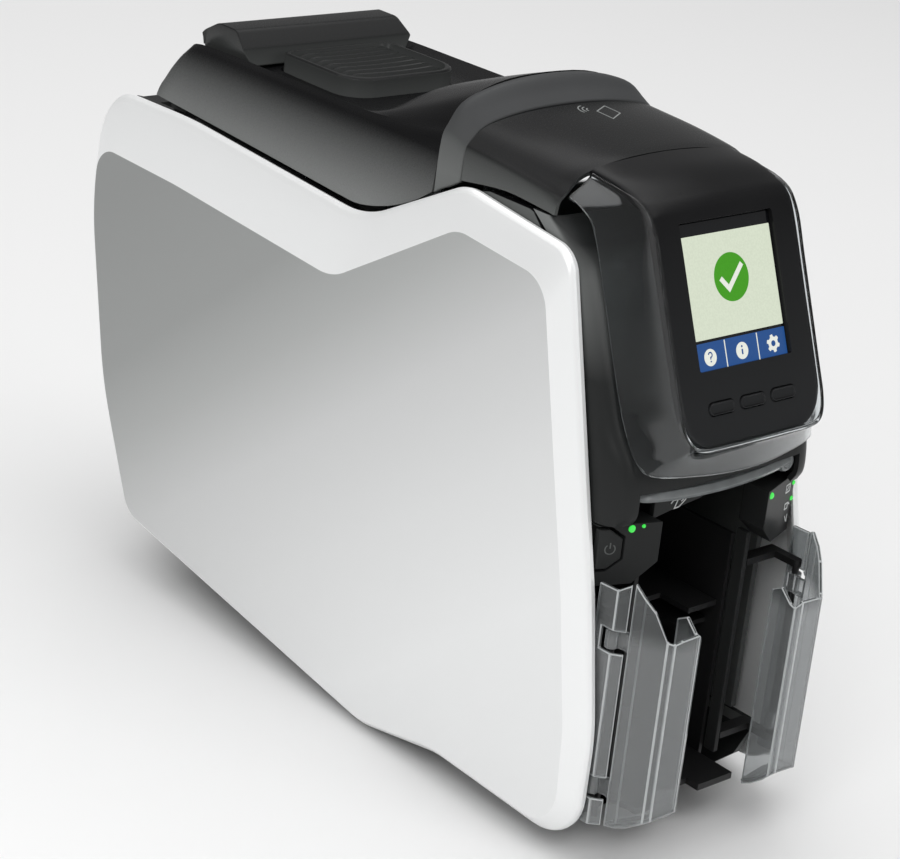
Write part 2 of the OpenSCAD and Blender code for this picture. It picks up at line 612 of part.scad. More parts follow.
// hook stands just in front of the catch bar, so that the lid lifts clear
module latch_hook() color("#8c8f92") difference() {
  union() {
    along_x(-4, 4, [[64, 246], [64, 252], [72, 252], [72, 244], [61.4, 230], [61.4, 226.4],
      [63.6, 224.4], [63.6, 221], [57.4, 221], [57.4, 234]]);
    rod_x(-4, 4, 68, 248, 4);
  }
  rod_x(-10, 10, 68, 248, 1.5 + run_fit);
}

module latch_catch() {
  for (s = [-1, 1]) translate([s > 0 ? 34 : -36, 66, 150]) cube([2, 8, 80]);
  rod_x(-34, 34, 70.6, 224.2, 2);
}

module lid_hinge_pins()
  for (s = [-1, 1]) {
    rod_x(s > 0 ? 28 : -48, s > 0 ? 48 : -28, hinge_y, hinge_z, pin_r);
    for (x = [39.6, 46]) translate([s > 0 ? x : -x - 2, hinge_y - 4, 235.6]) cube([2, 6.6, 10]);
  }

module hinge_pins() color("#9a9da0") {
  cover_hinge_pins();
  lid_hinge_pins();
}

module head_bracket() color("#b0b3b5") {
  for (s = [-1, 1]) translate([s > 0 ? 27 : -28.5, -20, 186]) cube([1.5, 34, 60]);
  translate([-27, -20, 206]) cube([54, 34, 2]);
  for (s = [-1, 1]) translate([s > 0 ? 28.5 : -46, -8, 244]) cube([17.5, 20, 2]);
  rod_x(-27, 27, 8, 190, 2);
}

module print_head() color("#6f7377") {
  difference() {
    union() {
      translate([-26, -16, 168]) cube([52, 12, 24]);
      translate([-26, -4, 184]) cube([52, 16, 12]);
    }
    rod_x(-30, 30, 8, 190, 2 + run_fit);
  }
  along_x(-26, 26, [[-15, 168], [-13, 149.6], [-9, 149.6], [-6, 168]]);
}

module head_spring() color("#a0a3a6")
  for (s = [-1, 1]) translate([s * 14, -10, 193.7]) for (i = [0:7]) translate([0, 0, i * 1.62])
    rotate_extrude($fn = 32) translate([4, 0]) circle(r = 0.7, $fn = 16);

// ---- chassis and drive ----

shaft_ys = [shaft_y0, shaft_y0 + 2 * step_y, shaft_y0 + 4 * step_y];
pinch_ys = [shaft_y0];
pinch_r = 7;
pinch_z = path_z + 0.6 + pinch_r;
clean_y = shaft_y0 + step_y;
motor_hole_r = 6;
supply_y = 37;

module chassis(x, motor) difference() {
  union() {
    translate([x, -101, 60]) cube([plate_t, 216, 112]);
    for (y = [-101, 100]) translate([x, y, foot_h + wall + 0.3]) cube([plate_t, 12, 60]);
  }
  for (y = shaft_ys) rod_x(x - 1, x + 4, y, shaft_z, bush_r);
  for (y = pinch_ys) rod_x(x - 1, x + 4, y, pinch_z, 2 + run_fit);
  rod_x(x - 1, x + 4, clean_y, pinch_z, 2 + run_fit);
  rod_x(x - 1, x + 4, pick_y, pick_z, shaft_r + run_fit);
  if (motor) rod_x(x - 1, x + 4, motor_y, motor_z, motor_hole_r);
  translate([x - 1, 24, 72]) cube([4, 66, 24]);
}

module chassis_plates() color("#a8abad") {
  chassis(-plate_out, true);
  chassis(chassis_half, false);
}

module cross_bars()
  for (p = [[-90, 66], [10, 66], [104, 66], [104, 166]]) rod_x(-chassis_half, chassis_half, p[0], p[1], 3);

module chassis_bars() color("#8f9294") {
  cross_bars();
  latch_catch();
  idler_posts();
}

module shaft_bushes() color("#c9b26a")
  for (y = shaft_ys, s = [-1, 1]) difference() {
    union() {
      rod_x(s > 0 ? chassis_half : -plate_out, s > 0 ? plate_out : -chassis_half, y, shaft_z, bush_r);
      rod_x(s > 0 ? plate_out : -plate_out - 1, s > 0 ? plate_out + 1 : -plate_out, y, shaft_z, bush_r + 1.5);
    }
    rod_x(-60, 60, y, shaft_z, shaft_r + run_fit);
  }

module driven(y, z, r, turn) {
  rod_x(gear_x, plate_out + 2.5, y, z, shaft_r);
  rod_x(-28, 28, y, z, r);
  gear_x_at(y, z, gear_n, turn);
}

tooth = 360 / gear_n;
module pick_roller() color("#3b3b3b")
  driven(pick_y, pick_z, pick_r, pick_turn);

// phase of each gear so that teeth meet gaps along the line of centres
mesh_dir = atan2(pick_y - shaft_y0, shaft_z - pick_z);
pick_turn = 2 * mesh_dir - 180 - tooth / 2;
module front_feed_roller() color("#3b3b3b") driven(shaft_ys[0], shaft_z, roller_r, 0);

module platen_roller() color("#303030") driven(shaft_ys[1], shaft_z, roller_r, 0);

module rear_feed_roller() color("#3b3b3b") driven(shaft_ys[2], shaft_z, roller_r, 0);

module pinch_rollers() color("#9fa2a5") {
  rod_x(-plate_out - 1, plate_out + 1, pinch_ys[0], pinch_z, 2);
  rod_x(-24, 24, pinch_ys[0], pinch_z, pinch_r);
}

module cleaning_roller() color("#6b8f9c") {
  rod_x(-plate_out - 1, plate_out + 1, clean_y, pinch_z, 2);
  rod_x(-28, 28, clean_y, pinch_z, pinch_r);
}

module idler(y) difference() {
  gear_x_at(y, shaft_z, gear_n, tooth / 2);
  rod_x(gear_x - 1, gear_x + gear_w + 1, y, shaft_z, 2.5 + run_fit);
}

module front_idler() color("#d9d9d2") idler(shaft_y0 + step_y);

module rear_idler() color("#d9d9d2") idler(shaft_y0 + 3 * step_y);

module idler_posts()
  for (y = [shaft_y0 + step_y, shaft_y0 + 3 * step_y]) {
    rod_x(gear_x - 0.6, -plate_out, y, shaft_z, 2.5);
    rod_x(gear_x - 1.8, gear_x - 0.5, y, shaft_z, 4);
  }

module drive_motor() color("#2a2b2d") {
  translate([-31.5, motor_y - 20, motor_z - 20]) cube([24, 40, 40]);
  rod_x(-plate_out, -31.5, motor_y, motor_z, 5.5);
}

module motor_pinion() color("#c9b26a") {
  gear_x_at(motor_y, motor_z, pinion_n, 0);
  rod_x(gear_x + gear_w - 1, -plate_out - 0.4, motor_y, motor_z, 3);
}

module cassette_frame() color("#5b6f8a") {
  for (s = [-1, 1]) difference() {
    translate([s > 0 ? 29.9 : -31.65, -78, 170]) cube([1.75, 136, 38]);
    rod_x(-40, 40, -62, 188, 4 + run_fit);
    rod_x(-40, 40, supply_y, 190, 4 + run_fit);
    translate([-50, -45, 165]) cube([100, 48, 20]);
  }
  for (y = [-77, 55.5]) translate([-29.9, y, 172]) cube([59.8, 2, 6]);
}

module supply_spool() color("#1e1e1e") {
  rod_x(-33, 33, supply_y, 190, 4, 40);
  rod_x(-28, 28, supply_y, 190, supply_r, 64);
}

module takeup_spool() color("#27304a") {
  rod_x(-33, 33, -62, 188, 4, 40);
  rod_x(-28, 28, -62, 188, takeup_r, 64);
}

module ribbon_film() color("#20242e") {
  along_x(-27, 27, [[supply_y - 2, 172.7], [-4, 149.2], [-18, 149.2], [-60, 176.9],
    [-60, 176.7], [-18.1, 149], [-4, 149], [supply_y - 2, 172.5]]);
}

module card_guides() color("#232425")
  for (y = [[-101, -82], [-62, -24], [0, 36], [60, 96]]) for (s = [-1, 1])
    translate([s > 0 ? 27.6 : -31.6, y[0], path_z - 3]) cube([4, y[1] - y[0], 2.2]);

module main_board() color("#1f5a36") {
  translate([body_half - 5, -90, 40]) cube([1.6, 200, 110]);
  for (p = [[-60, 60], [10, 90], [60, 50]]) translate([body_half - 10, p[0], p[1]]) cube([5, 24, 24]);
}

module power_supply() color("#8f9294") translate([-31, -10, foot_h + wall + 0.3]) cube([62, 106, 28]);

fan_z = 165;
module fan_frame() color("#1a1a1a") {
  difference() {
    translate([-25, 170, fan_z - 25]) cube([50, 11.95, 50]);
    translate([0, 160, fan_z]) rotate([-90, 0, 0]) cylinder(r = 23, h = 40, $fn = 64);
  }
  for (a = [0, 90]) translate([0, 170, fan_z]) rotate([0, a, 0]) translate([-24, 0, -1.5])
    cube([48, 1.3, 3]);
  translate([0, 170, fan_z]) rotate([-90, 0, 0]) {
    cylinder(r = 8, h = 1.3, $fn = 48);
    cylinder(r = 1.5, h = 10, $fn = 32);
  }
}

module fan_rotor() color("#26282a") translate([0, 171.7, fan_z]) rotate([-90, 0, 0]) difference() {
  union() {
    cylinder(r = 9, h = 9, $fn = 48);
    for (i = [0:6]) rotate([0, 0, i * 360 / 7]) translate([6, -1, 1]) rotate([28, 0, 0])
      cube([15.5, 1.6, 7]);
  }
  translate([0, 0, -1]) cylinder(r = 1.5 + run_fit, h = 12, $fn = 32);
}

module cover_screws() color("#8d9093")
  for (x = [-49, 49], q = [[181.6, 84], [185.1, 140], [184.4, 206]])
    translate([x, q[0], q[1]]) rotate([-90, 0, 0])
      difference() {
        cylinder(r = 3, h = 1.8, $fn = 32);
        translate([0, 0, 0.9]) cylinder(r = 1.3, h = 2, $fn = 6);
      }

centred() left_side_panel();
centred() right_side_panel();
centred() base_tray();
centred() feet();
centred() body_liner();
centred() rear_cover();
centred() power_inlet();
centred() data_ports();
centred() front_bezel();
centred() front_cheeks();
centred() saddle_collar();
centred() front_top_housing();
centred() display_cover();
centred() screen_module();
centred() screen_glass();
centred() soft_key_left();
centred() soft_key_middle();
centred() soft_key_right();
centred() clear_shroud();
centred() slot_lens();
centred() status_lights();
centred() power_button();
centred() hopper_bay();
centred() hopper_floor();
centred() left_hopper_cover();
centred() right_hopper_cover();
centred() hinge_pins();
centred() lift_plate();
centred() lift_spring();
centred() lid();
centred() lid_rear_bar();
centred() lid_frame();
centred() release_pad();
centred() latch_hook();
centred() head_bracket();
centred() print_head();
centred() head_spring();
centred() chassis_plates();
centred() chassis_bars();
centred() shaft_bushes();
centred() pick_roller();
centred() front_feed_roller();
centred() platen_roller();
centred() rear_feed_roller();
centred() pinch_rollers();
centred() cleaning_roller();
centred() front_idler();
centred() rear_idler();
centred() drive_motor();
centred() motor_pinion();
centred() cassette_frame();
centred() supply_spool();
centred() takeup_spool();
centred() ribbon_film();
centred() card_guides();
centred() main_board();
centred() power_supply();
centred() fan_frame();
centred() fan_rotor();
centred() cover_screws();
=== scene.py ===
import bmesh
import bpy
import json
import math
from mathutils import Matrix, Vector


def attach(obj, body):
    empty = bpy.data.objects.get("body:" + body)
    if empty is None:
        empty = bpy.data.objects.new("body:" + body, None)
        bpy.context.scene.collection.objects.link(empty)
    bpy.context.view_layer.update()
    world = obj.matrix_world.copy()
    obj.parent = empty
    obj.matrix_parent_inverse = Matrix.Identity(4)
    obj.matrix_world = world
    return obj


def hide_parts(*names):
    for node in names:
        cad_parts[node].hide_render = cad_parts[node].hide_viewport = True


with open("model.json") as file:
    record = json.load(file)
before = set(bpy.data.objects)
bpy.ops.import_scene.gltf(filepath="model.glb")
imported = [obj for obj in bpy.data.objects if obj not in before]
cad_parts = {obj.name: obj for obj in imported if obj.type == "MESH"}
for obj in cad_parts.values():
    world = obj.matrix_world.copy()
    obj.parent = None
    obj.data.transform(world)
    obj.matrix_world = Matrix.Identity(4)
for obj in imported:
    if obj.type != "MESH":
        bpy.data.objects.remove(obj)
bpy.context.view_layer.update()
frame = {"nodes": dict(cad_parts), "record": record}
record = frame["record"]
slotOf = {part["node"]: part["material_slot"] for part in record["subparts"]}
midShift = 5.6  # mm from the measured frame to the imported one, along y
patchMm = 60  # size of the slow drift between two close shades
print("frame loaded")


# small tools

def at(x, y, z):
    return Vector((x / 1000, (y + midShift) / 1000, z / 1000))


def linear(hexColor):
    parts = [int(hexColor[i:i + 2], 16) / 255 for i in (1, 3, 5)]
    flat = [c / 12.92 if c <= 0.04045 else ((c + 0.055) / 1.055) ** 2.4 for c in parts]
    return (*flat, 1.0)


def addNode(tree, kind, settings=None, **inputs):
    node = tree.nodes.new(kind)
    for key, value in (settings or {}).items():
        setattr(node, key, value)
    for key, value in inputs.items():
        # "_0" names a socket by its number, "Base_Color" by its label
        socket = node.inputs[int(key[1:]) if key[1:].isdigit() else key.replace("_", " ")]
        if isinstance(value, bpy.types.NodeSocket):
            tree.links.new(value, socket)
        else:
            socket.default_value = value
    return node


def newMaterial(name):
    material = bpy.data.materials.new(name)
    material.use_nodes = True
    tree = material.node_tree
    tree.nodes.clear()
    return material, tree


def grainOf(tree, mm, detail=3.0):
    place = addNode(tree, "ShaderNodeTexCoord").outputs["Object"]
    noise = addNode(tree, "ShaderNodeTexNoise", Vector=place, Scale=1000 / mm, Detail=detail)
    return noise.outputs["Fac"]


def facingOf(tree):
    normal = addNode(tree, "ShaderNodeNewGeometry").outputs["Normal"]
    return addNode(tree, "ShaderNodeSeparateXYZ", None, Vector=normal)


def placeOf(tree):
    place = addNode(tree, "ShaderNodeTexCoord").outputs["Object"]
    return addNode(tree, "ShaderNodeSeparateXYZ", None, Vector=place)


def ranged(tree, value, low, high, fromLow=0.35, fromHigh=0.65):
    node = addNode(tree, "ShaderNodeMapRange", _0=value, _1=fromLow, _2=fromHigh, _3=low, _4=high)
    return node.outputs[0]


def mixColors(tree, factor, first, second):
    node = addNode(tree, "ShaderNodeMix", {"data_type": "RGBA"}, _0=factor)
    for socket, value in ((node.inputs[6], first), (node.inputs[7], second)):
        if isinstance(value, bpy.types.NodeSocket):
            tree.links.new(value, socket)
        else:
            socket.default_value = value
    return node.outputs[2]


def surface(tree, **inputs):
    shader = addNode(tree, "ShaderNodeBsdfPrincipled", None, **inputs)
    addNode(tree, "ShaderNodeOutputMaterial", None, Surface=shader.outputs[0])


def molded(name, low, high, rough=(0.35, 0.45), grainMm=0.5, bumpMm=0.02):
    # two close shades drift over the piece and a fine grain breaks the sheen
    material, tree = newMaterial(name)
    grain = grainOf(tree, grainMm)
    color = mixColors(tree, ranged(tree, grainOf(tree, patchMm, 1.0), 0, 1), linear(low), linear(high))
    bump = addNode(tree, "ShaderNodeBump", None, Strength=0.35, Distance=bumpMm / 1000, Height=grain)
    surface(tree, Base_Color=color, Roughness=ranged(tree, grain, *rough), Normal=bump.outputs[0])
    return material


# materials

def silverPaint():
    # satin silver lacquer on plastic, with painted reflection: the flat face is painted grey towards the
    # rear top as painted shade, and the bevel round it is painted pale as a painted highlight
    material, tree = newMaterial("satin_silver_lacquer")
    parts = placeOf(tree)
    # painted shade: the flat face's colour runs from pale to grey as y and height rise
    paintedShadeRise = addNode(tree, "ShaderNodeMath", {"operation": "MULTIPLY_ADD"}, _0=parts.outputs[1], _1=0.75,
                   _2=parts.outputs[2]).outputs[0]
    flake = grainOf(tree, 0.25)
    paintedShadeRamp = addNode(tree, "ShaderNodeValToRGB", None, Fac=ranged(tree, paintedShadeRise, 0, 1, 0.0, 0.32))
    paintedShadeStops = [(0.0, "#f0f1f1"), (0.22, "#e2e3e3"), (0.42, "#cfd0d0"), (0.58, "#aeb0af"),
             (0.72, "#969897"), (1.0, "#8c8e8d")]
    for k, (where, shade) in enumerate(paintedShadeStops):
        stop = paintedShadeRamp.color_ramp.elements[k] if k < 2 else paintedShadeRamp.color_ramp.elements.new(where)
        stop.position, stop.color = where, linear(shade)
    facing = facingOf(tree)
    # painted highlight: faces turned away from x, the bevel, are painted near white
    flat = addNode(tree, "ShaderNodeMath", {"operation": "ABSOLUTE"}, _0=facing.outputs[0]).outputs[0]
    shade = mixColors(tree, ranged(tree, flat, 0, 1, 0.991, 0.998), linear("#f8f9f9"), paintedShadeRamp.outputs[0])
    color = mixColors(tree, ranged(tree, flake, 0, 0.08), shade, linear("#ffffff"))
    bump = addNode(tree, "ShaderNodeBump", None, Strength=0.2, Distance=0.00001, Height=flake)
    surface(tree, Base_Color=color, Roughness=ranged(tree, flake, 0.34, 0.42), Metallic=0.3,
            Normal=bump.outputs[0])
    return material


def sheenPlastic(name, low, high, paintedSheenColor, top, bottom, rough=(0.2, 0.28)):
    # satin black with painted sheen: upright sides are painted lighter low down, a painted reflection of
    # the pale table, and black on top; with bottom above top the painted light sits at the top instead
    material, tree = newMaterial(name)
    parts = placeOf(tree)
    facing = facingOf(tree)
    upright = ranged(tree, facing.outputs[2], 1, 0, 0.15, 0.75)
    paintedSheenByHeight = ranged(tree, parts.outputs[2], 1, 0, bottom, top)
    share = addNode(tree, "ShaderNodeMath", {"operation": "MULTIPLY"}, _0=upright, _1=paintedSheenByHeight).outputs[0]
    grain = grainOf(tree, 0.4)
    body = mixColors(tree, ranged(tree, grainOf(tree, patchMm, 1.0), 0, 1), linear(low), linear(high))
    # painted sheen: upright faces within the height band are mixed towards the painted sheen colour
    color = mixColors(tree, share, body, linear(paintedSheenColor))
    bump = addNode(tree, "ShaderNodeBump", None, Strength=0.3, Distance=0.000012, Height=grain)
    surface(tree, Base_Color=color, Roughness=ranged(tree, grain, *rough), Specular_IOR_Level=0.12,
            Normal=bump.outputs[0])
    return material


def clearPlastic(name, tint, rough=0.04):
    # polished see-through polycarbonate, a trace of haze in it
    material, tree = newMaterial(name)
    haze = grainOf(tree, 18, 2.0)
    surface(tree, Base_Color=linear(tint), Roughness=ranged(tree, haze, rough, rough + 0.05),
            Transmission_Weight=1.0, IOR=1.49)
    return material


def lamp(name, colorHex, strength, base="#0a0a0a"):
    # lit from behind, brightest in the middle of the grain
    material, tree = newMaterial(name)
    glow = ranged(tree, grainOf(tree, 6, 1.0), strength * 0.92, strength * 1.05)
    surface(tree, Base_Color=linear(base), Roughness=0.25, Emission_Color=linear(colorHex),
            Emission_Strength=glow)
    return material


def brushed(name, low, high, rough=(0.25, 0.42)):
    # drawn metal: streaks 25 mm long and 0.7 mm wide run along x and catch light across them
    material, tree = newMaterial(name)
    place = addNode(tree, "ShaderNodeTexCoord").outputs["Object"]
    pulled = addNode(tree, "ShaderNodeMapping", None, Vector=place, Scale=(40, 1500, 1500)).outputs[0]
    streak = addNode(tree, "ShaderNodeTexNoise", None, Vector=pulled, Scale=1.0, Detail=2.0).outputs["Fac"]
    color = mixColors(tree, ranged(tree, streak, 0, 1), linear(low), linear(high))
    bump = addNode(tree, "ShaderNodeBump", None, Strength=0.2, Distance=0.00001, Height=streak)
    surface(tree, Base_Color=color, Roughness=ranged(tree, streak, *rough), Metallic=1.0,
            Normal=bump.outputs[0])
    return material


finish = {
    "silver_shell": silverPaint(),
    # the third colour of each satin black is its painted sheen, painted onto upright faces low down as a
    # painted reflection of the table
    "black_shell": sheenPlastic("black_satin_abs", "#141415", "#191a1a", "#5c5e5d", 0.282, 0.262),
    "graphite_shell": sheenPlastic("graphite_satin_paint", "#3a3b3c", "#404142", "#6b6d6c", 0.292, 0.262,
                                   (0.3, 0.4)),
    "display_shell": sheenPlastic("black_semi_gloss_abs", "#121213", "#171718", "#2c2d2e", 0.272, 0.2,
                                  (0.17, 0.24)),
    "screen": molded("screen_glass_dark", "#0a0b0d", "#0e0f12", (0.08, 0.12), 1.2, 0.002),
    "module_grey": molded("warm_grey_abs", "#3b3c3e", "#444547", (0.38, 0.5), 0.4, 0.012),
    "clear_plastic": clearPlastic("clear_polycarbonate", "#e9eef0"),
    "green_light": lamp("green_light_pipe", "#39d64a", 1.2, "#0d2a10"),
    "foot_rubber": molded("black_foot_rubber", "#131313", "#1a1a1a", (0.7, 0.85), 0.6, 0.03),
    "roller_rubber": molded("grey_feed_rubber", "#2a2b2c", "#323334", (0.6, 0.72), 0.5, 0.03),
    "clean_rubber": molded("blue_tacky_rubber", "#3f6b9a", "#4a78a8", (0.3, 0.42), 0.8, 0.01),
    "steel": brushed("zinc_plated_steel", "#a4a7aa", "#b9bcbf"),
    "bronze": brushed("sintered_bronze", "#a8854a", "#b8955a", (0.4, 0.55)),
    "head_metal": brushed("anodised_head_aluminium", "#8d9093", "#a3a6a9", (0.3, 0.45)),
    "gear_white": molded("natural_acetal", "#d8d6cc", "#e2e0d6", (0.35, 0.45), 0.6, 0.01),
    "dark_part": molded("dark_grey_steel_paint", "#1d1e20", "#26272a", (0.4, 0.55), 0.4, 0.015),
    "cassette_blue": molded("blue_grey_cassette_abs", "#4d5a68", "#566371", (0.4, 0.5), 0.5, 0.012),
    "ribbon": molded("ribbon_film_gloss", "#17181a", "#1d1e21", (0.15, 0.22), 3.0, 0.004),
    "board": molded("green_circuit_board", "#12402a", "#184d33", (0.35, 0.5), 0.8, 0.01),
}
print("materials made")

bayBlack = molded("black_textured_abs", "#0d0d0e", "#111112", (0.5, 0.62), 0.5, 0.02)
bayPieces = ("hopper_bay", "hopper_floor", "lift_plate", "card_guides", "hinge_pins")
for name, obj in frame["nodes"].items():
    obj.data.materials.clear()
    obj.data.materials.append(bayBlack if name in bayPieces else finish[slotOf[name]])
    obj.data.shade_smooth()
    obj.data.set_sharp_from_angle(angle=math.radians(30))
print("frame pieces coated")


# making pieces

def addPiece(name, points, faces, coat, body, replacing=(), solid=0.0, bevel=0.0, corner=30,
             outward=None, material=None):
    # outward is a point inside the piece that an open skin's faces turn away from
    mesh = bpy.data.meshes.new(name)
    mesh.from_pydata([at(*p) for p in points], [], faces)
    work = bmesh.new()
    work.from_mesh(mesh)
    bmesh.ops.remove_doubles(work, verts=work.verts, dist=0.00001)
    bmesh.ops.recalc_face_normals(work, faces=work.faces)
    if outward:
        middle = at(*outward)
        away = sum((f.calc_center_median() - middle).dot(f.normal) * f.calc_area() for f in work.faces)
        if away < 0:
            bmesh.ops.reverse_faces(work, faces=work.faces)
    work.to_mesh(mesh)
    work.free()
    obj = bpy.data.objects.new(name, mesh)
    bpy.context.scene.collection.objects.link(obj)
    mesh.materials.append(material or finish[coat])
    if solid:
        shell = obj.modifiers.new("wall", "SOLIDIFY")
        shell.thickness, shell.offset, shell.use_even_offset = solid / 1000, -1, False
        bake(obj)
    if bevel:
        soften(obj, bevel, corner)
    obj.data.shade_smooth()
    obj.data.set_sharp_from_angle(angle=math.radians(corner))
    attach(obj, body)
    if replacing:
        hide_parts(*replacing)
    return obj


def bake(obj):
    graph = bpy.context.evaluated_depsgraph_get()
    mesh = bpy.data.meshes.new_from_object(obj.evaluated_get(graph))
    obj.modifiers.clear()
    obj.data = mesh


def soften(obj, mm, corner=30, steps=2, paintedEdgeCoat=None):
    bevel = obj.modifiers.new("soft_edges", "BEVEL")
    if paintedEdgeCoat:
        obj.data.materials.append(paintedEdgeCoat)
        bevel.material = len(obj.data.materials) - 1
    bevel.width, bevel.segments, bevel.limit_method = mm / 1000, steps, "ANGLE"
    bevel.angle_limit = math.radians(corner)
    bevel.harden_normals = True


def cutOut(obj, points, faces):
    # takes a closed form out of a piece and leaves no cutter behind
    mesh = bpy.data.meshes.new("cutter")
    mesh.from_pydata([at(*p) for p in points], [], faces)
    work = bmesh.new()
    work.from_mesh(mesh)
    bmesh.ops.recalc_face_normals(work, faces=work.faces)
    work.to_mesh(mesh)
    work.free()
    cutter = bpy.data.objects.new("cutter", mesh)
    bpy.context.scene.collection.objects.link(cutter)
    kept = [(m.width, m.segments, m.angle_limit) for m in obj.modifiers if m.type == "BEVEL"]
    obj.modifiers.clear()
    cut = obj.modifiers.new("cut", "BOOLEAN")
    cut.object, cut.operation, cut.solver = cutter, "DIFFERENCE", "EXACT"
    bake(obj)
    bpy.data.objects.remove(cutter)
    for width, segments, limit in kept:
        soften(obj, width * 1000, math.degrees(limit), segments)


def curveThrough(points, steps, breaks=()):
    # smooth line through the points, with a corner at each break
    fine = []
    cuts = [0, *breaks, len(points) - 1]
    for first, last in zip(cuts, cuts[1:]):
        run = points[first:last + 1]
        for i in range(len(run) - 1):
            b, c = run[i], run[i + 1]
            a = run[i - 1] if i else b * 2 - c
            d = run[i + 2] if i + 2 < len(run) else c * 2 - b
            for k in range(steps):
                t = k / steps
                fine.append((b * 2 + (c - a) * t + (a * 2 - b * 5 + c * 4 - d) * t * t
                             + (b * 3 - a - c * 3 + d) * t ** 3) * 0.5)
    fine.append(points[-1])
    return fine


def skinOf(rows, rowSteps, colSteps, rowBreaks=(), colBreaks=()):
    # grid of points and faces over rows of control points
    fineRows = [curveThrough([Vector(p) for p in row], colSteps, colBreaks) for row in rows]
    columns = [curveThrough(list(column), rowSteps, rowBreaks) for column in zip(*fineRows)]
    wide, high = len(columns), len(columns[0])
    points = [p for column in columns for p in column]
    faces = [(i * high + j, i * high + j + 1, (i + 1) * high + j + 1, (i + 1) * high + j)
             for i in range(wide - 1) for j in range(high - 1)]
    return points, faces


def ringsOf(rings):
    # skins closed loops of equal length, with a flat face on both ends
    n = len(rings[0])
    points = [p for ring in rings for p in ring]
    faces = [(i * n + k, i * n + (k + 1) % n, (i + 1) * n + (k + 1) % n, (i + 1) * n + k)
             for i in range(len(rings) - 1) for k in range(n)]
    return points, faces + [tuple(range(n)), tuple(range((len(rings) - 1) * n, len(rings) * n))]


def roundedLine(corners, steps):
    # closed outline with each corner rounded to its own radius
    line = []
    for k, (y, z, radius) in enumerate(corners):
        v = Vector((y, z))
        a = (Vector(corners[k - 1][:2]) - v).normalized()
        b = (Vector(corners[(k + 1) % len(corners)][:2]) - v).normalized()
        half = math.acos(a.dot(b)) / 2
        center = v + (a + b).normalized() * radius / math.sin(half)
        start, end = v + a * radius / math.tan(half) - center, v + b * radius / math.tan(half) - center
        turn = math.atan2(start.x * end.y - start.y * end.x, start.dot(end))
        for i in range(steps + 1):
            angle = math.atan2(start.y, start.x) + turn * i / steps
            line.append(center + radius * Vector((math.cos(angle), math.sin(angle))))
    return line


def roundedBox(w, h, r, steps=5):
    x, y = w / 2, h / 2
    return roundedLine([(x, y, r), (-x, y, r), (-x, -y, r), (x, -y, r)], steps)


# side panels

panel = {
    "edge": [(188.5, 237, 26), (191.5, 180, 140), (175, 92, 170), (147, 28, 16), (-42, 2.2, 40),
             (-92, 12, 50), (-178.5, 9.5, 22), (-179.5, 62, 110), (-169.5, 120, 220),
             (-136.5, 254.2, 13), (-72, 262.3, 24), (-10, 230.5, 55), (120, 238.5, 300)],
    "crease": [(183.5, 208.8, 14), (186.5, 178, 120), (170.5, 93, 150), (144, 33, 14), (-43.5, 7, 38),
               (-93, 16.8, 48), (-171.5, 15, 18), (-169.5, 62, 100), (-159, 118, 200),
               (-129, 240.8, 16), (-76, 245.5, 20), (1, 200.5, 30), (120, 207.5, 300)],
    "bevel": [(1.0, 67.5), (0.55, 65.3), (0.12, 62.8), (0.0, 60.6)],  # share of the way in, x
    "back": [(0.03, 58.4), (0.17, 58.4), (0.21, 60.4), (0.6, 62.9), (0.97, 65.1)],
    "softEdge": 0.35,
}
edgeLine = roundedLine(panel["edge"], 10)
creaseLine = roundedLine(panel["crease"], 10)


def panelRing(share, x):
    return [(x, *e.lerp(c, share)) for e, c in zip(edgeLine, creaseLine)]


for side, name in ((-1, "left_side_panel"), (1, "right_side_panel")):
    steps = [tuple(p)[:2] for p in curveThrough([Vector((*p, 0)) for p in panel["bevel"]], 3)]
    rings = [panelRing(t, side * x) for t, x in (*steps, *panel["back"])]
    addPiece(name + "_shell", *ringsOf(rings), "silver_shell", "printer_body", [name],
             bevel=panel["softEdge"], corner=6)
print("side panels made")


# lid, rear bar and release pad

lid = {
    "rows": [(-47, 251.5, 278, 291, 297), (-36, 244.5, 276, 287, 293.5), (-20, 237.5, 273.5, 281, 288),
             (-2, 233, 271.4, 274.5, 281), (12, 233, 270.6, 267.5, 271), (26, 233.8, 270.5, 265.5, 266),
             (60, 235.8, 270.5, 265, 265), (100, 238, 270.5, 265.5, 266), (130, 239.6, 269.5, 266.5, 267),
             (138, 240, 266, 264.5, 265), (146, 240.4, 258, 258, 258.5), (152.5, 240.8, 248.5, 249.5, 250)],
    "ridge": 50.0,
    "wall": 2.0,
    "well": (64.7, 56.3, 67.25),  # width, length, middle y
    "wellCorners": (5, 14),
    "wellCut": (255, 285),
}


def lidRow(y, foot, ridge, floorZ, centerZ):
    r = lid["ridge"]
    half = [(57.4, foot), (55.9, foot + 0.45 * (ridge - foot)), (53.6, foot + 0.86 * (ridge - foot)),
            (r, ridge), (r - 4.5, ridge + 0.5 * (floorZ - ridge)), (r - 11, floorZ),
            (22, floorZ + 0.8 * (centerZ - floorZ))]
    return ([(x, y, z) for x, z in half] + [(0, y, centerZ)] + [(-x, y, z) for x, z in reversed(half)])


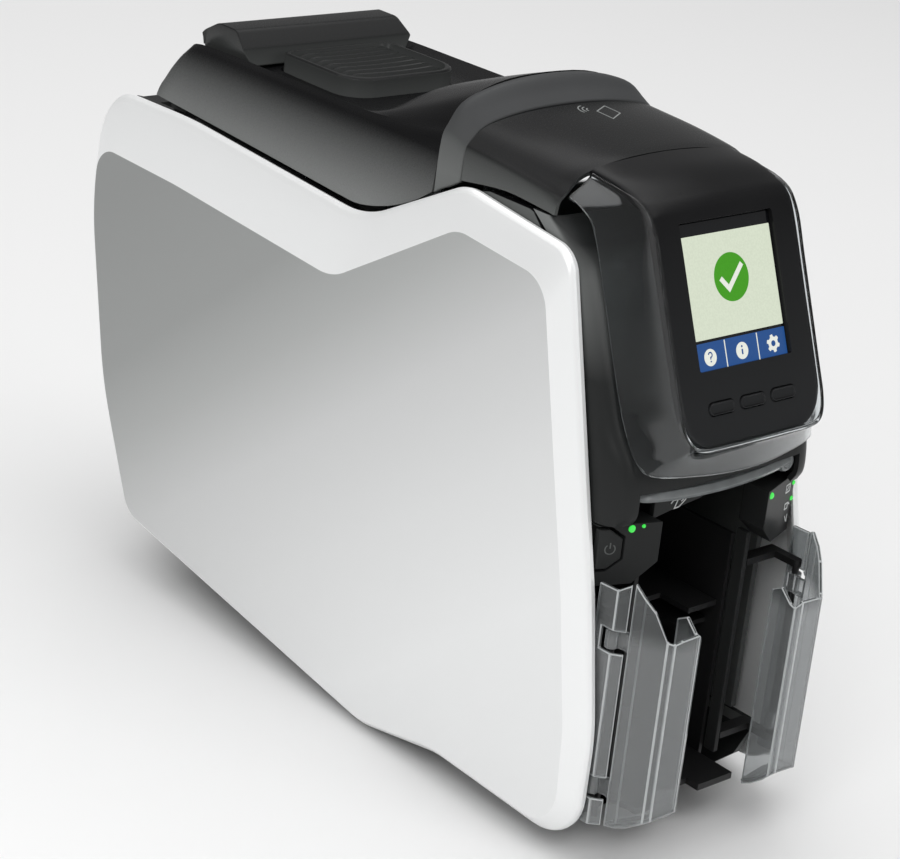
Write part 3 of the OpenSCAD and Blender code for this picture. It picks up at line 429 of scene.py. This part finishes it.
# painted reflection: the lid's upright flanks are painted pale grey low down, fading out by 268 mm
lidCoat = sheenPlastic("black_satin_lid_abs", "#0c0c0d", "#121213", "#8e908f", 0.268, 0.225, (0.24, 0.32))
lidShell = addPiece("lid_shell", *skinOf([lidRow(*row) for row in lid["rows"]], 4, 3, (), (3, 11)),
                    "black_shell", "lid_body", ["lid"], solid=lid["wall"], bevel=0.7, corner=24,
                    outward=(0, 50, 200), material=lidCoat)
wide, long, wellY = lid["well"]
rearR, frontR = lid["wellCorners"]
wellLoop = roundedLine([(wide / 2, wellY + long / 2, rearR), (-wide / 2, wellY + long / 2, rearR),
                        (-wide / 2, wellY - long / 2, frontR), (wide / 2, wellY - long / 2, frontR)], 6)
cutOut(lidShell, *ringsOf([[(p.x, p.y, z) for p in wellLoop] for z in lid["wellCut"]]))

bar = {
    "profile": [(97.2, 266.4, 0.8), (99.5, 274.5, 3), (108, 281, 6), (122, 281.2, 8), (131, 276, 6),
                (135.5, 267.2, 1)],  # y, z, radius
    "step": 270.9,  # height where the bar widens over the lid's ridge
    "footHalf": 44.6,
    "topHalf": 49.8,
    "ends": ((-1, 0), (-1, 6), (1, -6), (1, 0)),
}


def barHalf(z):
    return bar["footHalf"] if z < bar["step"] else bar["topHalf"] - (z - 271) * 0.3


barLine = roundedLine(bar["profile"], 5)
barRings = [[(s * barHalf(p.y) + inset, p.x, p.y) for p in barLine]
            for s, inset in bar["ends"]]
addPiece("lid_bar", *ringsOf(barRings), "black_shell", "lid_body", ["lid_rear_bar"], bevel=0.7, corner=28)

pad = {
    "half": 31.6,
    "front": 40.2,
    "rear": 94.2,
    "low": 262.6,
    "top": 271.4,
    "rim": 273.6,
    "bow": 3.0,
    "ribs": 7,
    "firstRib": 8.2,
    "ribPitch": 6.3,
    "ribHalf": 26.5,
    "ribSteps": 12,
}


def padLoop(inset, z):
    h, front, rear = pad["half"] - inset, pad["front"] + inset, pad["rear"] - inset
    loop = roundedLine([(h, rear, 5), (-h, rear, 5), (-h, front, 13), (h, front, 13)], 6)
    return [(p.x, p.y, z) for p in loop]


padRings = [padLoop(0, pad["low"]), padLoop(0, pad["rim"] - 0.8), padLoop(0.8, pad["rim"]),
            padLoop(2.2, pad["rim"]), padLoop(3.0, pad["top"] - 1.2), padLoop(10, pad["top"] - 1.4)]
addPiece("release_pad_plate", *ringsOf(padRings), "black_shell", "release_pad_body",
         ["release_pad"], bevel=0.35, corner=28)
for k in range(pad["ribs"]):
    # each rib bows a little less than the one in front of it, and its two ends slope down
    rings = []
    for i in range(pad["ribSteps"] + 1):
        x = pad["ribHalf"] * (2 * i / pad["ribSteps"] - 1)
        y = pad["front"] + pad["firstRib"] + k * pad["ribPitch"] + pad["bow"] * (x / 27) ** 2 * (1 - k / 9)
        top = pad["rim"] - (1.8 if i in (0, pad["ribSteps"]) else 0.2)
        low = pad["top"] - 1.6
        rings.append([(x, y - 1.7, low), (x, y - 1.0, top), (x, y + 1.3, top - 0.2), (x, y + 2.0, low)])
    addPiece("release_pad_rib_%d" % (k + 1), *ringsOf(rings), "black_shell", "release_pad_body", bevel=0.3)
print("lid made")


# arches in front of the lid

arches = {
    "collar": [(-47.7, 57.4, 251, 55.5, 279, 297), (-52, 57.4, 254, 55.5, 279.5, 296.5),
               (-57, 57.3, 256.5, 55.3, 278.5, 292), (-63, 57.2, 260, 55, 276.5, 288)],
    "housing": [(-63.6, 56.9, 261, 55.8, 276.5, 287.5), (-90, 57.2, 264.5, 56, 274.5, 286),
                (-112, 57.2, 263.6, 55.5, 271.8, 284), (-119.2, 57, 262.9, 54, 270.4, 283)],
    "wall": 2.0,
}


def archRow(y, footX, footZ, shoulderX, shoulderZ, crown):
    def between(a, b, t):
        return a + (b - a) * t
    half = [(footX, footZ), (between(footX, shoulderX, 0.3), between(footZ, shoulderZ, 0.55)),
            (shoulderX + 0.3, between(footZ, shoulderZ, 0.88)), (shoulderX - 1.5, shoulderZ + 0.4),
            (shoulderX - 8, between(shoulderZ, crown, 0.5)),
            (shoulderX * 0.66, between(shoulderZ, crown, 0.76)),
            (shoulderX * 0.36, between(shoulderZ, crown, 0.94))]
    return ([(x, y, z) for x, z in half] + [(0, y, crown)] + [(-x, y, z) for x, z in reversed(half)])


for name, node, coat in (("collar", "saddle_collar", "graphite_shell"),
                         ("housing", "front_top_housing", "black_shell")):
    rows = [archRow(*row) for row in arches[name]]
    addPiece(node + "_shell", *skinOf(rows, 4, 4, (), (3, 11)), coat, "printer_body", [node],
             solid=arches["wall"], bevel=0.9, corner=20, outward=(0, -80, 200))
print("arches made")


# display nose

nose = {
    "foot": (-189.5, 186.0),
    "lean": math.radians(22.3),
    "half": 40.5,
    "top": [(-119.9, 279.8, 0, 1, 3.2), (-135, 278, -0.1, 0.99, 2.6), (-145.5, 275, -0.35, 0.94, 1.8),
            (-151.7, 272.2, -0.6, 0.8, 1.0)],
    "slope": [(84, 0, 0.4), (50, 0, 0.35), (20, 0, 0.3), (10, 1.5, 0.2), (3.5, 5.5, 0.1), (0, 11, 0)],
    "window": (52.6, 58.3, 58.15),  # width, height, middle of its height up the slope
    "keys": (-17.6, 0.0, 17.6),
    "keyHeight": 14.0,
    "keyHole": (15.0, 5.8, 2.8),
    # how much wider than the cap, and how high above the cover
    "keyLevels": ((0, -3.4), (0, 0.5), (-0.35, 0.9), (-1.0, 0.9), (-1.5, 0.45), (-2.2, 0.4)),
    "cut": (-9, 9),
}


def onNose(x, s, n=0.0):
    c, d = math.sin(nose["lean"]), math.cos(nose["lean"])
    return (x, nose["foot"][0] + s * c - n * d, nose["foot"][1] + s * d + n * c)


def noseRow(y, z, ny, nz, half, crown):
    row = []
    for x in (-1, -0.985, -0.93, -0.6, 0, 0.6, 0.93, 0.985, 1):
        c = crown * (1 - x * x) - (2.4 if abs(x) == 1 else 0.7 if abs(x) == 0.985 else 0)
        row.append((x * half, y + ny * c, z + nz * c))
    return row


noseRows = [noseRow(y, z, ny, nz, nose["half"], crown)
            for y, z, ny, nz, crown in nose["top"]]
for s, inset, crown in nose["slope"]:
    noseRows.append(noseRow(*onNose(0, s)[1:], -math.cos(nose["lean"]), math.sin(nose["lean"]),
                            nose["half"] - inset, crown))
noseShell = addPiece("display_cover_shell", *skinOf(noseRows, 4, 3), "display_shell", "printer_body",
                     ["display_cover"], solid=3.0, bevel=0.6, corner=35, outward=(0, -130, 200))


def noseSlab(loop, s, low, high):
    return ringsOf([[onNose(p.x, s + p.y, level) for p in loop] for level in (low, high)])


w, h, windowS = nose["window"]
cutOut(noseShell, *noseSlab(roundedBox(w, h, 1.0), windowS, *nose["cut"]))
for x in nose["keys"]:
    loop = [Vector((p.x + x, p.y)) for p in roundedBox(*nose["keyHole"])]
    cutOut(noseShell, *noseSlab(loop, nose["keyHeight"], *nose["cut"]))

# keys with a raised lip round a dished top
for x, name in zip(nose["keys"], ("left", "middle", "right")):
    rings = []
    for grow, n in nose["keyLevels"]:
        loop = roundedBox(14.2 + grow, 5.0 + grow, max(2.4 + grow / 2, 0.6))
        rings.append([onNose(p.x + x, p.y + nose["keyHeight"], n) for p in loop])
    addPiece("soft_key_%s_cap" % name, *ringsOf(rings), "display_shell", "key_%s" % name,
             ["soft_key_%s" % name], bevel=0.12, corner=40)
print("nose made")


# screen

screen = {
    "glass": (51.8, 57.5, 58.15),
    "level": -1.6,
    "ground": (50.4, 40.6, 61.3, "#e3ecd6", 0.86),
    "bar": (50.8, 11.9, 33.9, "#1f4f8f", 0.9),
    "disc": (0.0, 63.3, 9.7, "#3f9a10", 0.95),
    "tick": [(-6.2, 63.4), (-2.1, 58.9), (6.6, 67.9)],
    "dividers": (-9.2, 9.2),
    "question": -18,
    "info": 0,
    "cog": (18, 34),
    "cogTeeth": (3.6, 2.7),  # outer and inner radius
    "iconHeight": 33.9,
}


def litMaterial(name, hexColor, strength):
    # backlit layer of the display, a faint grid of cells in its glow
    material, tree = newMaterial(name)
    cell = grainOf(tree, 0.8, 0.0)
    surface(tree, Base_Color=linear("#050505"), Roughness=0.3, Emission_Color=linear(hexColor),
            Emission_Strength=ranged(tree, cell, strength * 0.97, strength * 1.02))
    return material


def screenLayer(name, loop, level, material, thick=0.06):
    addPiece(name, *noseSlab(loop, 0, level, level + thick), "screen", "printer_body", material=material)


def strokeLoop(line, width):
    # outline of a bent flat stroke
    left, rightSide = [], []
    for i, p in enumerate(line):
        ahead = (line[min(i + 1, len(line) - 1)] - line[i]).normalized() if i + 1 < len(line) else None
        behind = (line[i] - line[i - 1]).normalized() if i else None
        way = ((ahead or behind) + (behind or ahead)).normalized()
        across = Vector((-way.y, way.x))
        stretch = 1 / max(across.dot(Vector((-(ahead or behind).y, (ahead or behind).x))), 0.5)
        left.append(p + across * width / 2 * stretch)
        rightSide.append(p - across * width / 2 * stretch)
    return left + rightSide[::-1]


def circleLine(cx, cy, r, n=40, start=0.0, sweep=math.tau):
    return [Vector((cx + r * math.cos(start + sweep * i / n), cy + r * math.sin(start + sweep * i / n)))
            for i in range(n + (sweep < math.tau))]


w, h, s = screen["glass"]
rings = [[onNose(p.x, p.y + s, n) for p in roundedBox(w + grow, h + grow, 0.9)]
         for grow, n in ((0, -3.2), (0, -1.95), (-0.7, -1.62))]
addPiece("screen_cover_glass", *ringsOf(rings), "screen", "printer_body", ["screen_glass"])
level = screen["level"]
for name in ("ground", "bar"):
    w, h, s, color, glow = screen[name]
    layer = [Vector((p.x, p.y + s)) for p in roundedBox(w, h, 0.3, 2)]
    screenLayer("screen_" + name, layer, level, litMaterial("lit_display_" + name, color, glow))
white = litMaterial("lit_display_white", "#f1f4ea", 0.9)
x, s, r, color, glow = screen["disc"]
screenLayer("screen_disc", circleLine(x, s, r, 56), level + 0.06,
            litMaterial("lit_display_green", color, glow))
screenLayer("screen_tick", strokeLoop([Vector(p) for p in screen["tick"]], 2.1), level + 0.12, white)
for x in screen["dividers"]:
    screenLayer("screen_divider_%s" % ("left" if x < 0 else "right"),
                strokeLoop([Vector((x, 28.2)), Vector((x, 39.6))], 0.5), level + 0.06, white)
barBlue = bpy.data.materials["lit_display_bar"]
for name in ("question", "info"):
    disc = circleLine(screen[name], screen["iconHeight"], 3.4, 32)
    screenLayer("screen_%s_disc" % name, disc, level + 0.06, white)
x = screen["question"]
hook = circleLine(x, 34.9, 1.0, 12, math.radians(170), math.radians(-260))
hook += [Vector((x, 33.6)), Vector((x, 33.1))]
screenLayer("screen_question_hook", strokeLoop(hook, 0.55), level + 0.12, barBlue)
screenLayer("screen_question_dot", circleLine(x, 32.3, 0.35, 12), level + 0.12, barBlue)
x = screen["info"]
stem = strokeLoop([Vector((x, 32.4)), Vector((x, 34.5))], 0.8)
screenLayer("screen_info_stem", stem, level + 0.12, barBlue)
screenLayer("screen_info_dot", circleLine(x, 35.6, 0.45, 12), level + 0.12, barBlue)
outer, inner = screen["cogTeeth"]
teeth = []
for i in range(48):
    angle, r = math.tau * i / 48, outer if (i // 4) % 2 else inner
    teeth.append(Vector(screen["cog"]) + Vector((math.cos(angle), math.sin(angle))) * r)
screenLayer("screen_cog", teeth, level + 0.06, white)
screenLayer("screen_cog_hole", circleLine(*screen["cog"], 1.2, 24), level + 0.12, barBlue)
print("screen made")


# clear shroud round the nose

shroud = {
    "pairs": [((52, -120.4, 270.4), (40.9, -120.8, 279)), ((51, -128, 267.5), (40.9, -147, 275)),
              ((50.6, -135.5, 260), (40.9, -157.5, 266.5)), ((50.4, -144.5, 238), (40.9, -166, 246.5)),
              ((50.2, -158, 203), (40.9, -181, 209)), ((50, -165.5, 187), (40.6, -187, 194)),
              ((49.5, -173, 177), (36.5, -190.8, 187)), ((45, -179.5, 172.5), (29, -192, 184.8)),
              ((22, -184.5, 170.5), (15, -192.4, 184.6)), ((0, -186.5, 170), (0, -192.6, 184.6))],
    "wall": 1.8,
}
stations = [(Vector(a), Vector(b)) for a, b in shroud["pairs"]]
stations += [(Vector((-a.x, a.y, a.z)), Vector((-b.x, b.y, b.z))) for a, b in reversed(stations[:-1])]
rows = []
for i, (a, b) in enumerate(stations):
    along = stations[min(i + 1, len(stations) - 1)][0] - stations[max(i - 1, 0)][0]
    away = along.cross(b - a).normalized()
    rows.append([a, a.lerp(b, 0.45) + away * 0.9, a.lerp(b, 0.82) + away * 1.2, b])
addPiece("clear_shroud_hood", *skinOf(rows, 5, 3), "clear_plastic", "printer_body", ["clear_shroud"],
         solid=shroud["wall"], bevel=0.5, corner=40, outward=(0, -140, 225))
print("shroud made")


# black front between the panels

front = {
    "rows": [(262.5, -116, -120), (258, -122, -128), (250, -131.5, -137), (238, -138, -143.5),
             (205, -147.5, -156.5), (188, -151.5, -163.5), (176, -154.5, -171.5), (166, -157, -174.5),
             (155, -159.5, -175), (149.5, -161, -172)],  # height, y at the panels, y in the middle
    "profile": [(57.6, -0.4), (57.6, 0), (56.6, 0.45), (53.2, 0.84), (47, 0.98), (34, 1), (14, 1)],
    "lensSag": 1.6,
    "lensZ": 160.2,
    "lensBow": 4.0,
    "slotHalf": 46.4,
    "slotLow": 140,
    "slotGap": 3.2,  # room above the lens
    "lensHalf": 44.6,
}
# painted light: the front's upright faces are painted lighter towards the top, from 205 mm up to 258 mm
frontCoat = sheenPlastic("black_satin_front_abs", "#262727", "#2b2c2c", "#7a7c7b", 0.205, 0.258,
                         (0.3, 0.38))
rows = []
for z, side, middle in front["rows"]:
    half = [(x, side + (middle - side) * t if t >= 0 else side + 8, z) for x, t in front["profile"]]
    rows.append([(-x, y, z) for x, y, z in half] + [(0, middle, z)] + half[::-1])
bezelShell = addPiece("front_bezel_shell", *skinOf(rows, 4, 3), "black_shell", "printer_body",
                      ["front_bezel"], solid=2.4, bevel=0.4, corner=40, outward=(0, -120, 205),
                      material=frontCoat)


def lensAt(t):
    bulge = 1 - t * t
    return -173 - front["lensBow"] * bulge, front["lensZ"] - front["lensSag"] * bulge


half, low, gap = front["slotHalf"], front["slotLow"], front["slotGap"]
slotLine = ([(-half, low)] + [(t * half / 8, lensAt(t / 8)[1] + gap) for t in range(-8, 9)]
            + [(half, low)])
cutOut(bezelShell, *ringsOf([[(x, y, z) for x, z in slotLine] for y in (-200, -148)]))


def frosted(name, low, high):
    # smoky frosted polycarbonate: its even grey base colour is partly the smoke tint and partly painted
    # light standing in for light from inside the slot
    material, tree = newMaterial(name)
    haze = grainOf(tree, 9, 2.0)
    surface(tree, Base_Color=mixColors(tree, ranged(tree, haze, 0, 1), linear(low), linear(high)),
            Roughness=ranged(tree, haze, 0.16, 0.26), Transmission_Weight=0.35, IOR=1.5)
    return material


lensCoat = frosted("frosted_lens_polycarbonate", "#85898a", "#939798")
# painted highlight: a pale colour put on the clear covers' bevelled edges where polished edges would catch
# light
paintedEdgeHighlight = frosted("polycarbonate_edge_painted_highlight", "#ccd0d1", "#d8dbdc")
section = [(6, 2.7), (0.9, 2.6), (-0.3, 1.2), (-0.6, 0.1), (0.5, -1.7), (2.2, -2.2), (6, -2.3)]
rings = []
for k in range(-16, 17):
    t = k / 16
    y, z = lensAt(t)
    small = 1 - 0.35 * abs(t) ** 10
    back = 1.5 if abs(k) == 16 else 0  # the two ends step back a little
    rings.append([(front["lensHalf"] * t, y + a + back, z + b * small) for a, b in section])
addPiece("slot_lens_bar", *ringsOf(rings), "clear_plastic", "printer_body", ["slot_lens"], bevel=0.25,
         corner=28, material=lensCoat)
knob = [(0, 4.4), (3.0, 4.4), (4.4, 3.7), (4.8, 2.6), (4.1, 1.9), (3.9, 0.6)]  # depth to the front, radius
knobRings = [[(p.x, -168.4 - d, p.y) for p in circleLine(41.5, 159.4, r, 28)] for d, r in knob]
addPiece("slot_lens_end", *ringsOf(knobRings), "clear_plastic", "printer_body", material=lensCoat)
apron = [(-30.8, 147.6), (-20, 149.4), (-4, 151.4), (2, 154.4), (30.8, 154.4), (30.8, 157.6),
         (-30.8, 157.6)]
addPiece("feed_apron", *ringsOf([[(x, y, z) for x, z in apron] for y in (-168.6, -166.4)]), "black_shell",
         "printer_body", bevel=0.3, corner=40, material=frontCoat)

cheek = {
    "outline": [(31, 148.9), (57.6, 148.9), (57.6, 122.5), (41, 122.5), (31, 131.5)],
    "hole": [(58.6, 128.6), (58.6, 148.5), (52.2, 148.5), (45.7, 143.5), (45.7, 133.5), (52.2, 128.6)],
    "button": [(56.9, 130.0), (56.9, 147.2), (52.6, 147.2), (47.0, 142.8), (47.0, 134.2), (52.6, 130.0)],
    "mark": (-52.0, 138.6, 2.1),
    "slope": 0.357,
}


def cheekY(x, proud=0.0):
    return -174.5 - proud + (abs(x) - 31) * cheek["slope"]


def onCheek(points, proud, back=None):
    return [(x, cheekY(x, proud) if back is None else back, z) for x, z in points]


for side, name in ((-1, "left"), (1, "right")):
    line = [(side * x, z) for x, z in cheek["outline"]]
    block = addPiece("front_cheek_" + name, *ringsOf([onCheek(line, 0, -160), onCheek(line, 0)]),
                     "black_shell", "printer_body", ["front_cheeks"] if side < 0 else (),
                     bevel=0.35, corner=25, material=frontCoat)
    if side < 0:
        hole = [(-x, z) for x, z in cheek["hole"]]
        cutOut(block, *ringsOf([onCheek(hole, 0, -190), onCheek(hole, 0, -150)]))
    post = [(side * x, y) for x, y in ((31.2, -166), (33.7, -166), (33.7, -160), (31.2, -160))]
    addPiece("cheek_post_" + name, *ringsOf([[(x, y, z) for x, y in post] for z in (22, 127)]),
             "black_shell", "printer_body", bevel=0.3, corner=40, material=frontCoat)
line = [(-x, z) for x, z in cheek["button"]]
addPiece("power_button_cap", *ringsOf([onCheek(line, 0, -163), onCheek(line, 0.5)]), "black_shell",
         "button_body", ["power_button"], bevel=0.5, corner=25, material=frontCoat)


def mark(name, loop, coat, body, proud=0.5, thick=0.08, material=None):
    # thin printed or lit layer on a cheek's turned face
    points = [(p.x, p.y) for p in loop]
    addPiece(name, *ringsOf([onCheek(points, proud - 0.05), onCheek(points, proud + thick)]), coat, body,
             material=material)


printed = molded("pale_pad_print", "#c3c6c5", "#cfd2d1", (0.4, 0.5), 0.6, 0.004)
faint = molded("grey_pad_print", "#484b4a", "#505352", (0.4, 0.5), 0.6, 0.004)
midPrint = molded("mid_grey_pad_print", "#7f8281", "#888b8a", (0.4, 0.5), 0.6, 0.004)
x, z, r = cheek["mark"]
arc = circleLine(x, z, r, 18, math.radians(125), math.radians(290))
stem = [Vector((x, z + 0.3)), Vector((x, z + 2.8))]
mark("power_mark_arc", strokeLoop(arc, 0.45), "black_shell", "button_body", material=faint)
mark("power_mark_stem", strokeLoop(stem, 0.45), "black_shell", "button_body", material=faint)

lights = {
    "left_main": (-43.4, 146.7, 1.6),  # x, z, radius
    "left_small": (-38.8, 147.6, 0.8),
    "right_main": (33.7, 146.3, 1.5),
    "right_upper": (56.4, 144.6, 1.0),
    "right_lower": (56.4, 137.4, 1.0),
}
for name, (x, z, r) in lights.items():
    rings = [[(p.x, cheekY(x, d), p.y) for p in circleLine(x, z, r * share, 24)]
             for d, share in ((-2.5, 1), (0.15, 1), (0.45, 0.86), (0.62, 0.5))]
    addPiece("status_light_" + name, *ringsOf(rings), "green_light", "printer_body",
             ["status_lights"] if name == "left_main" else ())

# generic pictograms beside the right-hand lights: a card, a ribbon roll, a tool
signs = {
    "card": [[(49.6, 141.9), (53.4, 141.9), (53.4, 145.3), (49.6, 145.3), (49.6, 141.9)],
             [(50.6, 142.8), (52.4, 144.4)]],
    "roll": [[(50.8, 133.9), (53.4, 133.9), (53.4, 136.4), (50.8, 136.4), (50.8, 133.9)],
             [(54.0, 136.2), (55.4, 135.0)]],
    "tool": [[(52.4, 130.4), (54.4, 127.4)], [(54.8, 130.6), (54.8, 127.0)]],
}
for name, strokes in signs.items():
    for k, stroke in enumerate(strokes):
        mark("sign_%s_%d" % (name, k + 1), strokeLoop([Vector(p) for p in stroke], 0.6), "black_shell",
             "printer_body", 0.0, 0.1, printed)
feedSign = [[(-21.4, 152.4), (-20.2, 153.6), (-16.0, 153.4), (-11.8, 153.6)],
            [(-17.6, 153.2), (-19.2, 149.9), (-16.6, 150.1), (-13.2, 152.6), (-12.6, 153.4)],
            [(-15.6, 152.4), (-14.2, 152.9)]]
for k, stroke in enumerate(feedSign):
    loop = strokeLoop([Vector(p) for p in stroke], 0.5)
    rings = [[(p.x, y, p.y) for p in loop] for y in (-168.55, -168.75)]
    addPiece("sign_feed_%d" % (k + 1), *ringsOf(rings), "black_shell", "printer_body", material=printed)
print("front made")


# clear hopper covers

cover = {
    # the jamb stays on the body so that the wall swings clear of the panel's edge
    "jamb": [((57.3, -169.5), 21, 126.4), ((57.1, -179.6), 21, 126.8), ((53.4, -183.7), 21.2, 129.8)],
    "notches": [(33, 43), (99, 109)],
    "path": [((52.5, -184.4), 21.3, 130.6), ((51.2, -189.3), 22, 125.8),
             ((48.9, -193.5), 23.4, 121.2), ((45.6, -199.0), 27, 109.4),
             ((43.2, -201.2), 28.4, 108.8), ((39.8, -202.0), 29.4, 110.0), ((30.2, -202.0), 29.8, 110.4),
             ((27.4, -200.4), 28.0, 107.6), ((27.0, -197.6), 25.2, 108.6), ((27.0, -192.0), 20.8, 113.8),
             ((27.0, -187.0), 18.2, 111.0)],  # plan point, low and high edge
    "wall": 1.7,
    "floor": [((51.0, -184.9, 22.0), (27.4, -187.0, 18.8)), ((50.6, -188.9, 22.6), (27.4, -192.0, 21.4)),
              ((45.4, -198.6, 27.4), (27.4, -197.6, 25.6)), ((39.8, -201.4, 29.8), (30.2, -201.4, 30.2))],
    "pin": (53.5, -176.5),
    "knuckle": 2.9,
    "knuckles": (34, 100),  # heights of their undersides
    "knuckleTall": 8,
    # the hinge arm from the pin to the wall, as seen from above
    "arm": [(-3.6, -5.5), (-3.2, -8.4), (-1.4, -8.4), (-1.3, -7.6), (-1.7, -5.5)],
}


def smokyClear():
    # smoky see-through polycarbonate with a thin haze in its roughness; its lower part is painted paler as
    # a painted reflection of the table
    material, tree = newMaterial("smoky_clear_polycarbonate")
    height = placeOf(tree).outputs[2]
    haze = grainOf(tree, 14, 2.0)
    # painted reflection: paler below 104 mm, where the table would show in it, grey above 112 mm
    color = mixColors(tree, ranged(tree, height, 0, 1, 0.104, 0.112), linear("#c9cccd"), linear("#85898a"))
    surface(tree, Base_Color=color, Roughness=ranged(tree, haze, 0.03, 0.07), Transmission_Weight=0.8,
            IOR=1.45)
    return material


coverCoat = smokyClear()


def bentSheet(name, side, path, body, inside, replacing=()):
    # upright clear sheet folded along a plan path
    points, faces = [], []
    for k, ((x, y), low, high) in enumerate(path):
        points += [(side * x, y, low), (side * x, y, high)]
        if k:
            faces.append((2 * k - 2, 2 * k - 1, 2 * k + 1, 2 * k))
    return addPiece(name, points, faces, "clear_plastic", body, replacing, solid=cover["wall"],
                    outward=(side * inside[0], inside[1], 70), material=coverCoat)


for side, name in ((-1, "left"), (1, "right")):
    body = name + "_cover_body"
    jamb = bentSheet(name + "_cover_jamb", side, cover["jamb"], "printer_body", (45, -170))
    for low, high in cover["notches"]:
        box = [(side * x, y) for x, y in ((60, -187), (48, -187), (48, -173.2), (60, -173.2))]
        cutOut(jamb, *ringsOf([[(x, y, z) for x, y in box] for z in (low, high)]))
    soften(jamb, 0.45, 14, 2, paintedEdgeHighlight)
    wall = bentSheet(name + "_cover_wall", side, cover["path"], body, (40, -186), [name + "_hopper_cover"])
    soften(wall, 0.45, 14, 2, paintedEdgeHighlight)
    rows = [[(side * x, y, z) for x, y, z in row] for row in cover["floor"]]
    plate = addPiece(name + "_cover_floor", *skinOf(rows, 3, 2), "clear_plastic", body, solid=1.6,
                     outward=(side * 40, -190, 60), material=coverCoat)
    soften(plate, 0.3, 30, 2, paintedEdgeHighlight)
    px, py = cover["pin"]
    for k, z in enumerate(cover["knuckles"]):
        eye = circleLine(px, py, cover["knuckle"], 30, math.radians(-108), math.radians(307))
        outline = [(side * p.x, p.y) for p in eye] + [(side * (px + x), py + y) for x, y in cover["arm"]]
        rings = [[(x, y, top) for x, y in outline] for top in (z, z + cover["knuckleTall"])]
        knuckle = addPiece("%s_cover_knuckle_%d" % (name, k + 1), *ringsOf(rings), "clear_plastic", body,
                           bevel=0.3, corner=40, material=coverCoat)
        bore = circleLine(side * px, py, 1.6, 28)
        cutOut(knuckle, *ringsOf([[(p.x, p.y, end) for p in bore] for end in (z - 4, z + 12)]))
print("hopper covers made")


# card sign on the top housing

def onTop(x, y):
    # height of the housing's crown between its sections
    t = (y + 63.6) / (-90 + 63.6) if y > -90 else 1 + (y + 90) / (-112 + 90)
    crown = 287.5 - 1.5 * t if t <= 1 else 286 - 2 * (t - 1)
    return crown - 0.06 * (crown - 275) * (abs(x) / 20) ** 2


signTop = [[(13.6, -69.4), (4.4, -74.6), (4.4, -84.4), (13.6, -79.0), (13.6, -69.4)]]
for r in (2.4, 4.4, 6.4):
    signTop.append([(3.2 + r * math.cos(math.radians(a)) * 0.9, -72.6 + r * math.sin(math.radians(a)) * 0.9)
                    for a in range(100, 200, 12)])
for k, stroke in enumerate(signTop):
    loop = strokeLoop([Vector(p) for p in stroke], 0.55)
    rings = [[(p.x, p.y, onTop(p.x, p.y) + h) for p in loop] for h in (-0.3, 0.12)]
    addPiece("sign_top_%d" % (k + 1), *ringsOf(rings), "black_shell", "printer_body", material=midPrint)
print("marks made")


# camera, lights and floor

view = {
    "place": (-0.710263, -0.780680, 0.544485),
    "right": (0.75990, -0.64278, 0.09692),
    "up": (0.17348, 0.34421, 0.92274),
    "lens": 100.0,
    "sensor": 36.0,
}
cameraData = bpy.data.cameras.new("photo_camera")
cameraData.lens = view["lens"]
cameraData.sensor_width = view["sensor"]
camera = bpy.data.objects.new("photo_camera", cameraData)
bpy.context.scene.collection.objects.link(camera)
right, up = Vector(view["right"]).normalized(), Vector(view["up"]).normalized()
out = right.cross(up)
camera.matrix_world = Matrix.Translation(view["place"]) @ Matrix((right, up, out)).transposed().to_4x4()
bpy.context.scene.camera = camera

light = {
    "ceiling": ((0.0, 0.2, 3.0), (0.0, 0.2, 0.0), 5.0, 112.0),  # place, aim, size in m, watts
    "left_box": ((-1.7, -0.9, 1.5), (0.0, 0.0, 0.15), 1.2, 14.0),
    "front_box": ((0.5, -2.1, 1.1), (0.0, 0.0, 0.15), 1.0, 7.0),
    "sky": 0.28,
    "floor": "#ececec",
}
for name in ("ceiling", "left_box", "front_box"):
    place, aim, size, power = light[name]
    data = bpy.data.lights.new(name, "AREA")
    data.size, data.energy = size, power
    lampObject = bpy.data.objects.new(name, data)
    lampObject.location = place
    lampObject.rotation_euler = (Vector(aim) - Vector(place)).to_track_quat("-Z", "Y").to_euler()
    bpy.context.scene.collection.objects.link(lampObject)

world = bpy.data.worlds.new("studio")
world.use_nodes = True
bpy.context.scene.world = world
world.node_tree.nodes["Background"].inputs[0].default_value = (1, 1, 1, 1)
world.node_tree.nodes["Background"].inputs[1].default_value = light["sky"]

floorData = bpy.data.meshes.new("floor")
floorData.from_pydata([(-6, -6, 0), (6, -6, 0), (6, 6, 0), (-6, 6, 0)], [], [(0, 1, 2, 3)])
floor = bpy.data.objects.new("floor", floorData)
bpy.context.scene.collection.objects.link(floor)
floorMaterial, floorTree = newMaterial("matt_paper_sweep")
surface(floorTree, Base_Color=linear(light["floor"]),
        Roughness=ranged(floorTree, grainOf(floorTree, 3), 0.85, 0.95))
floorData.materials.append(floorMaterial)
bpy.context.scene.view_settings.view_transform = "Standard"
print("camera and lights set")
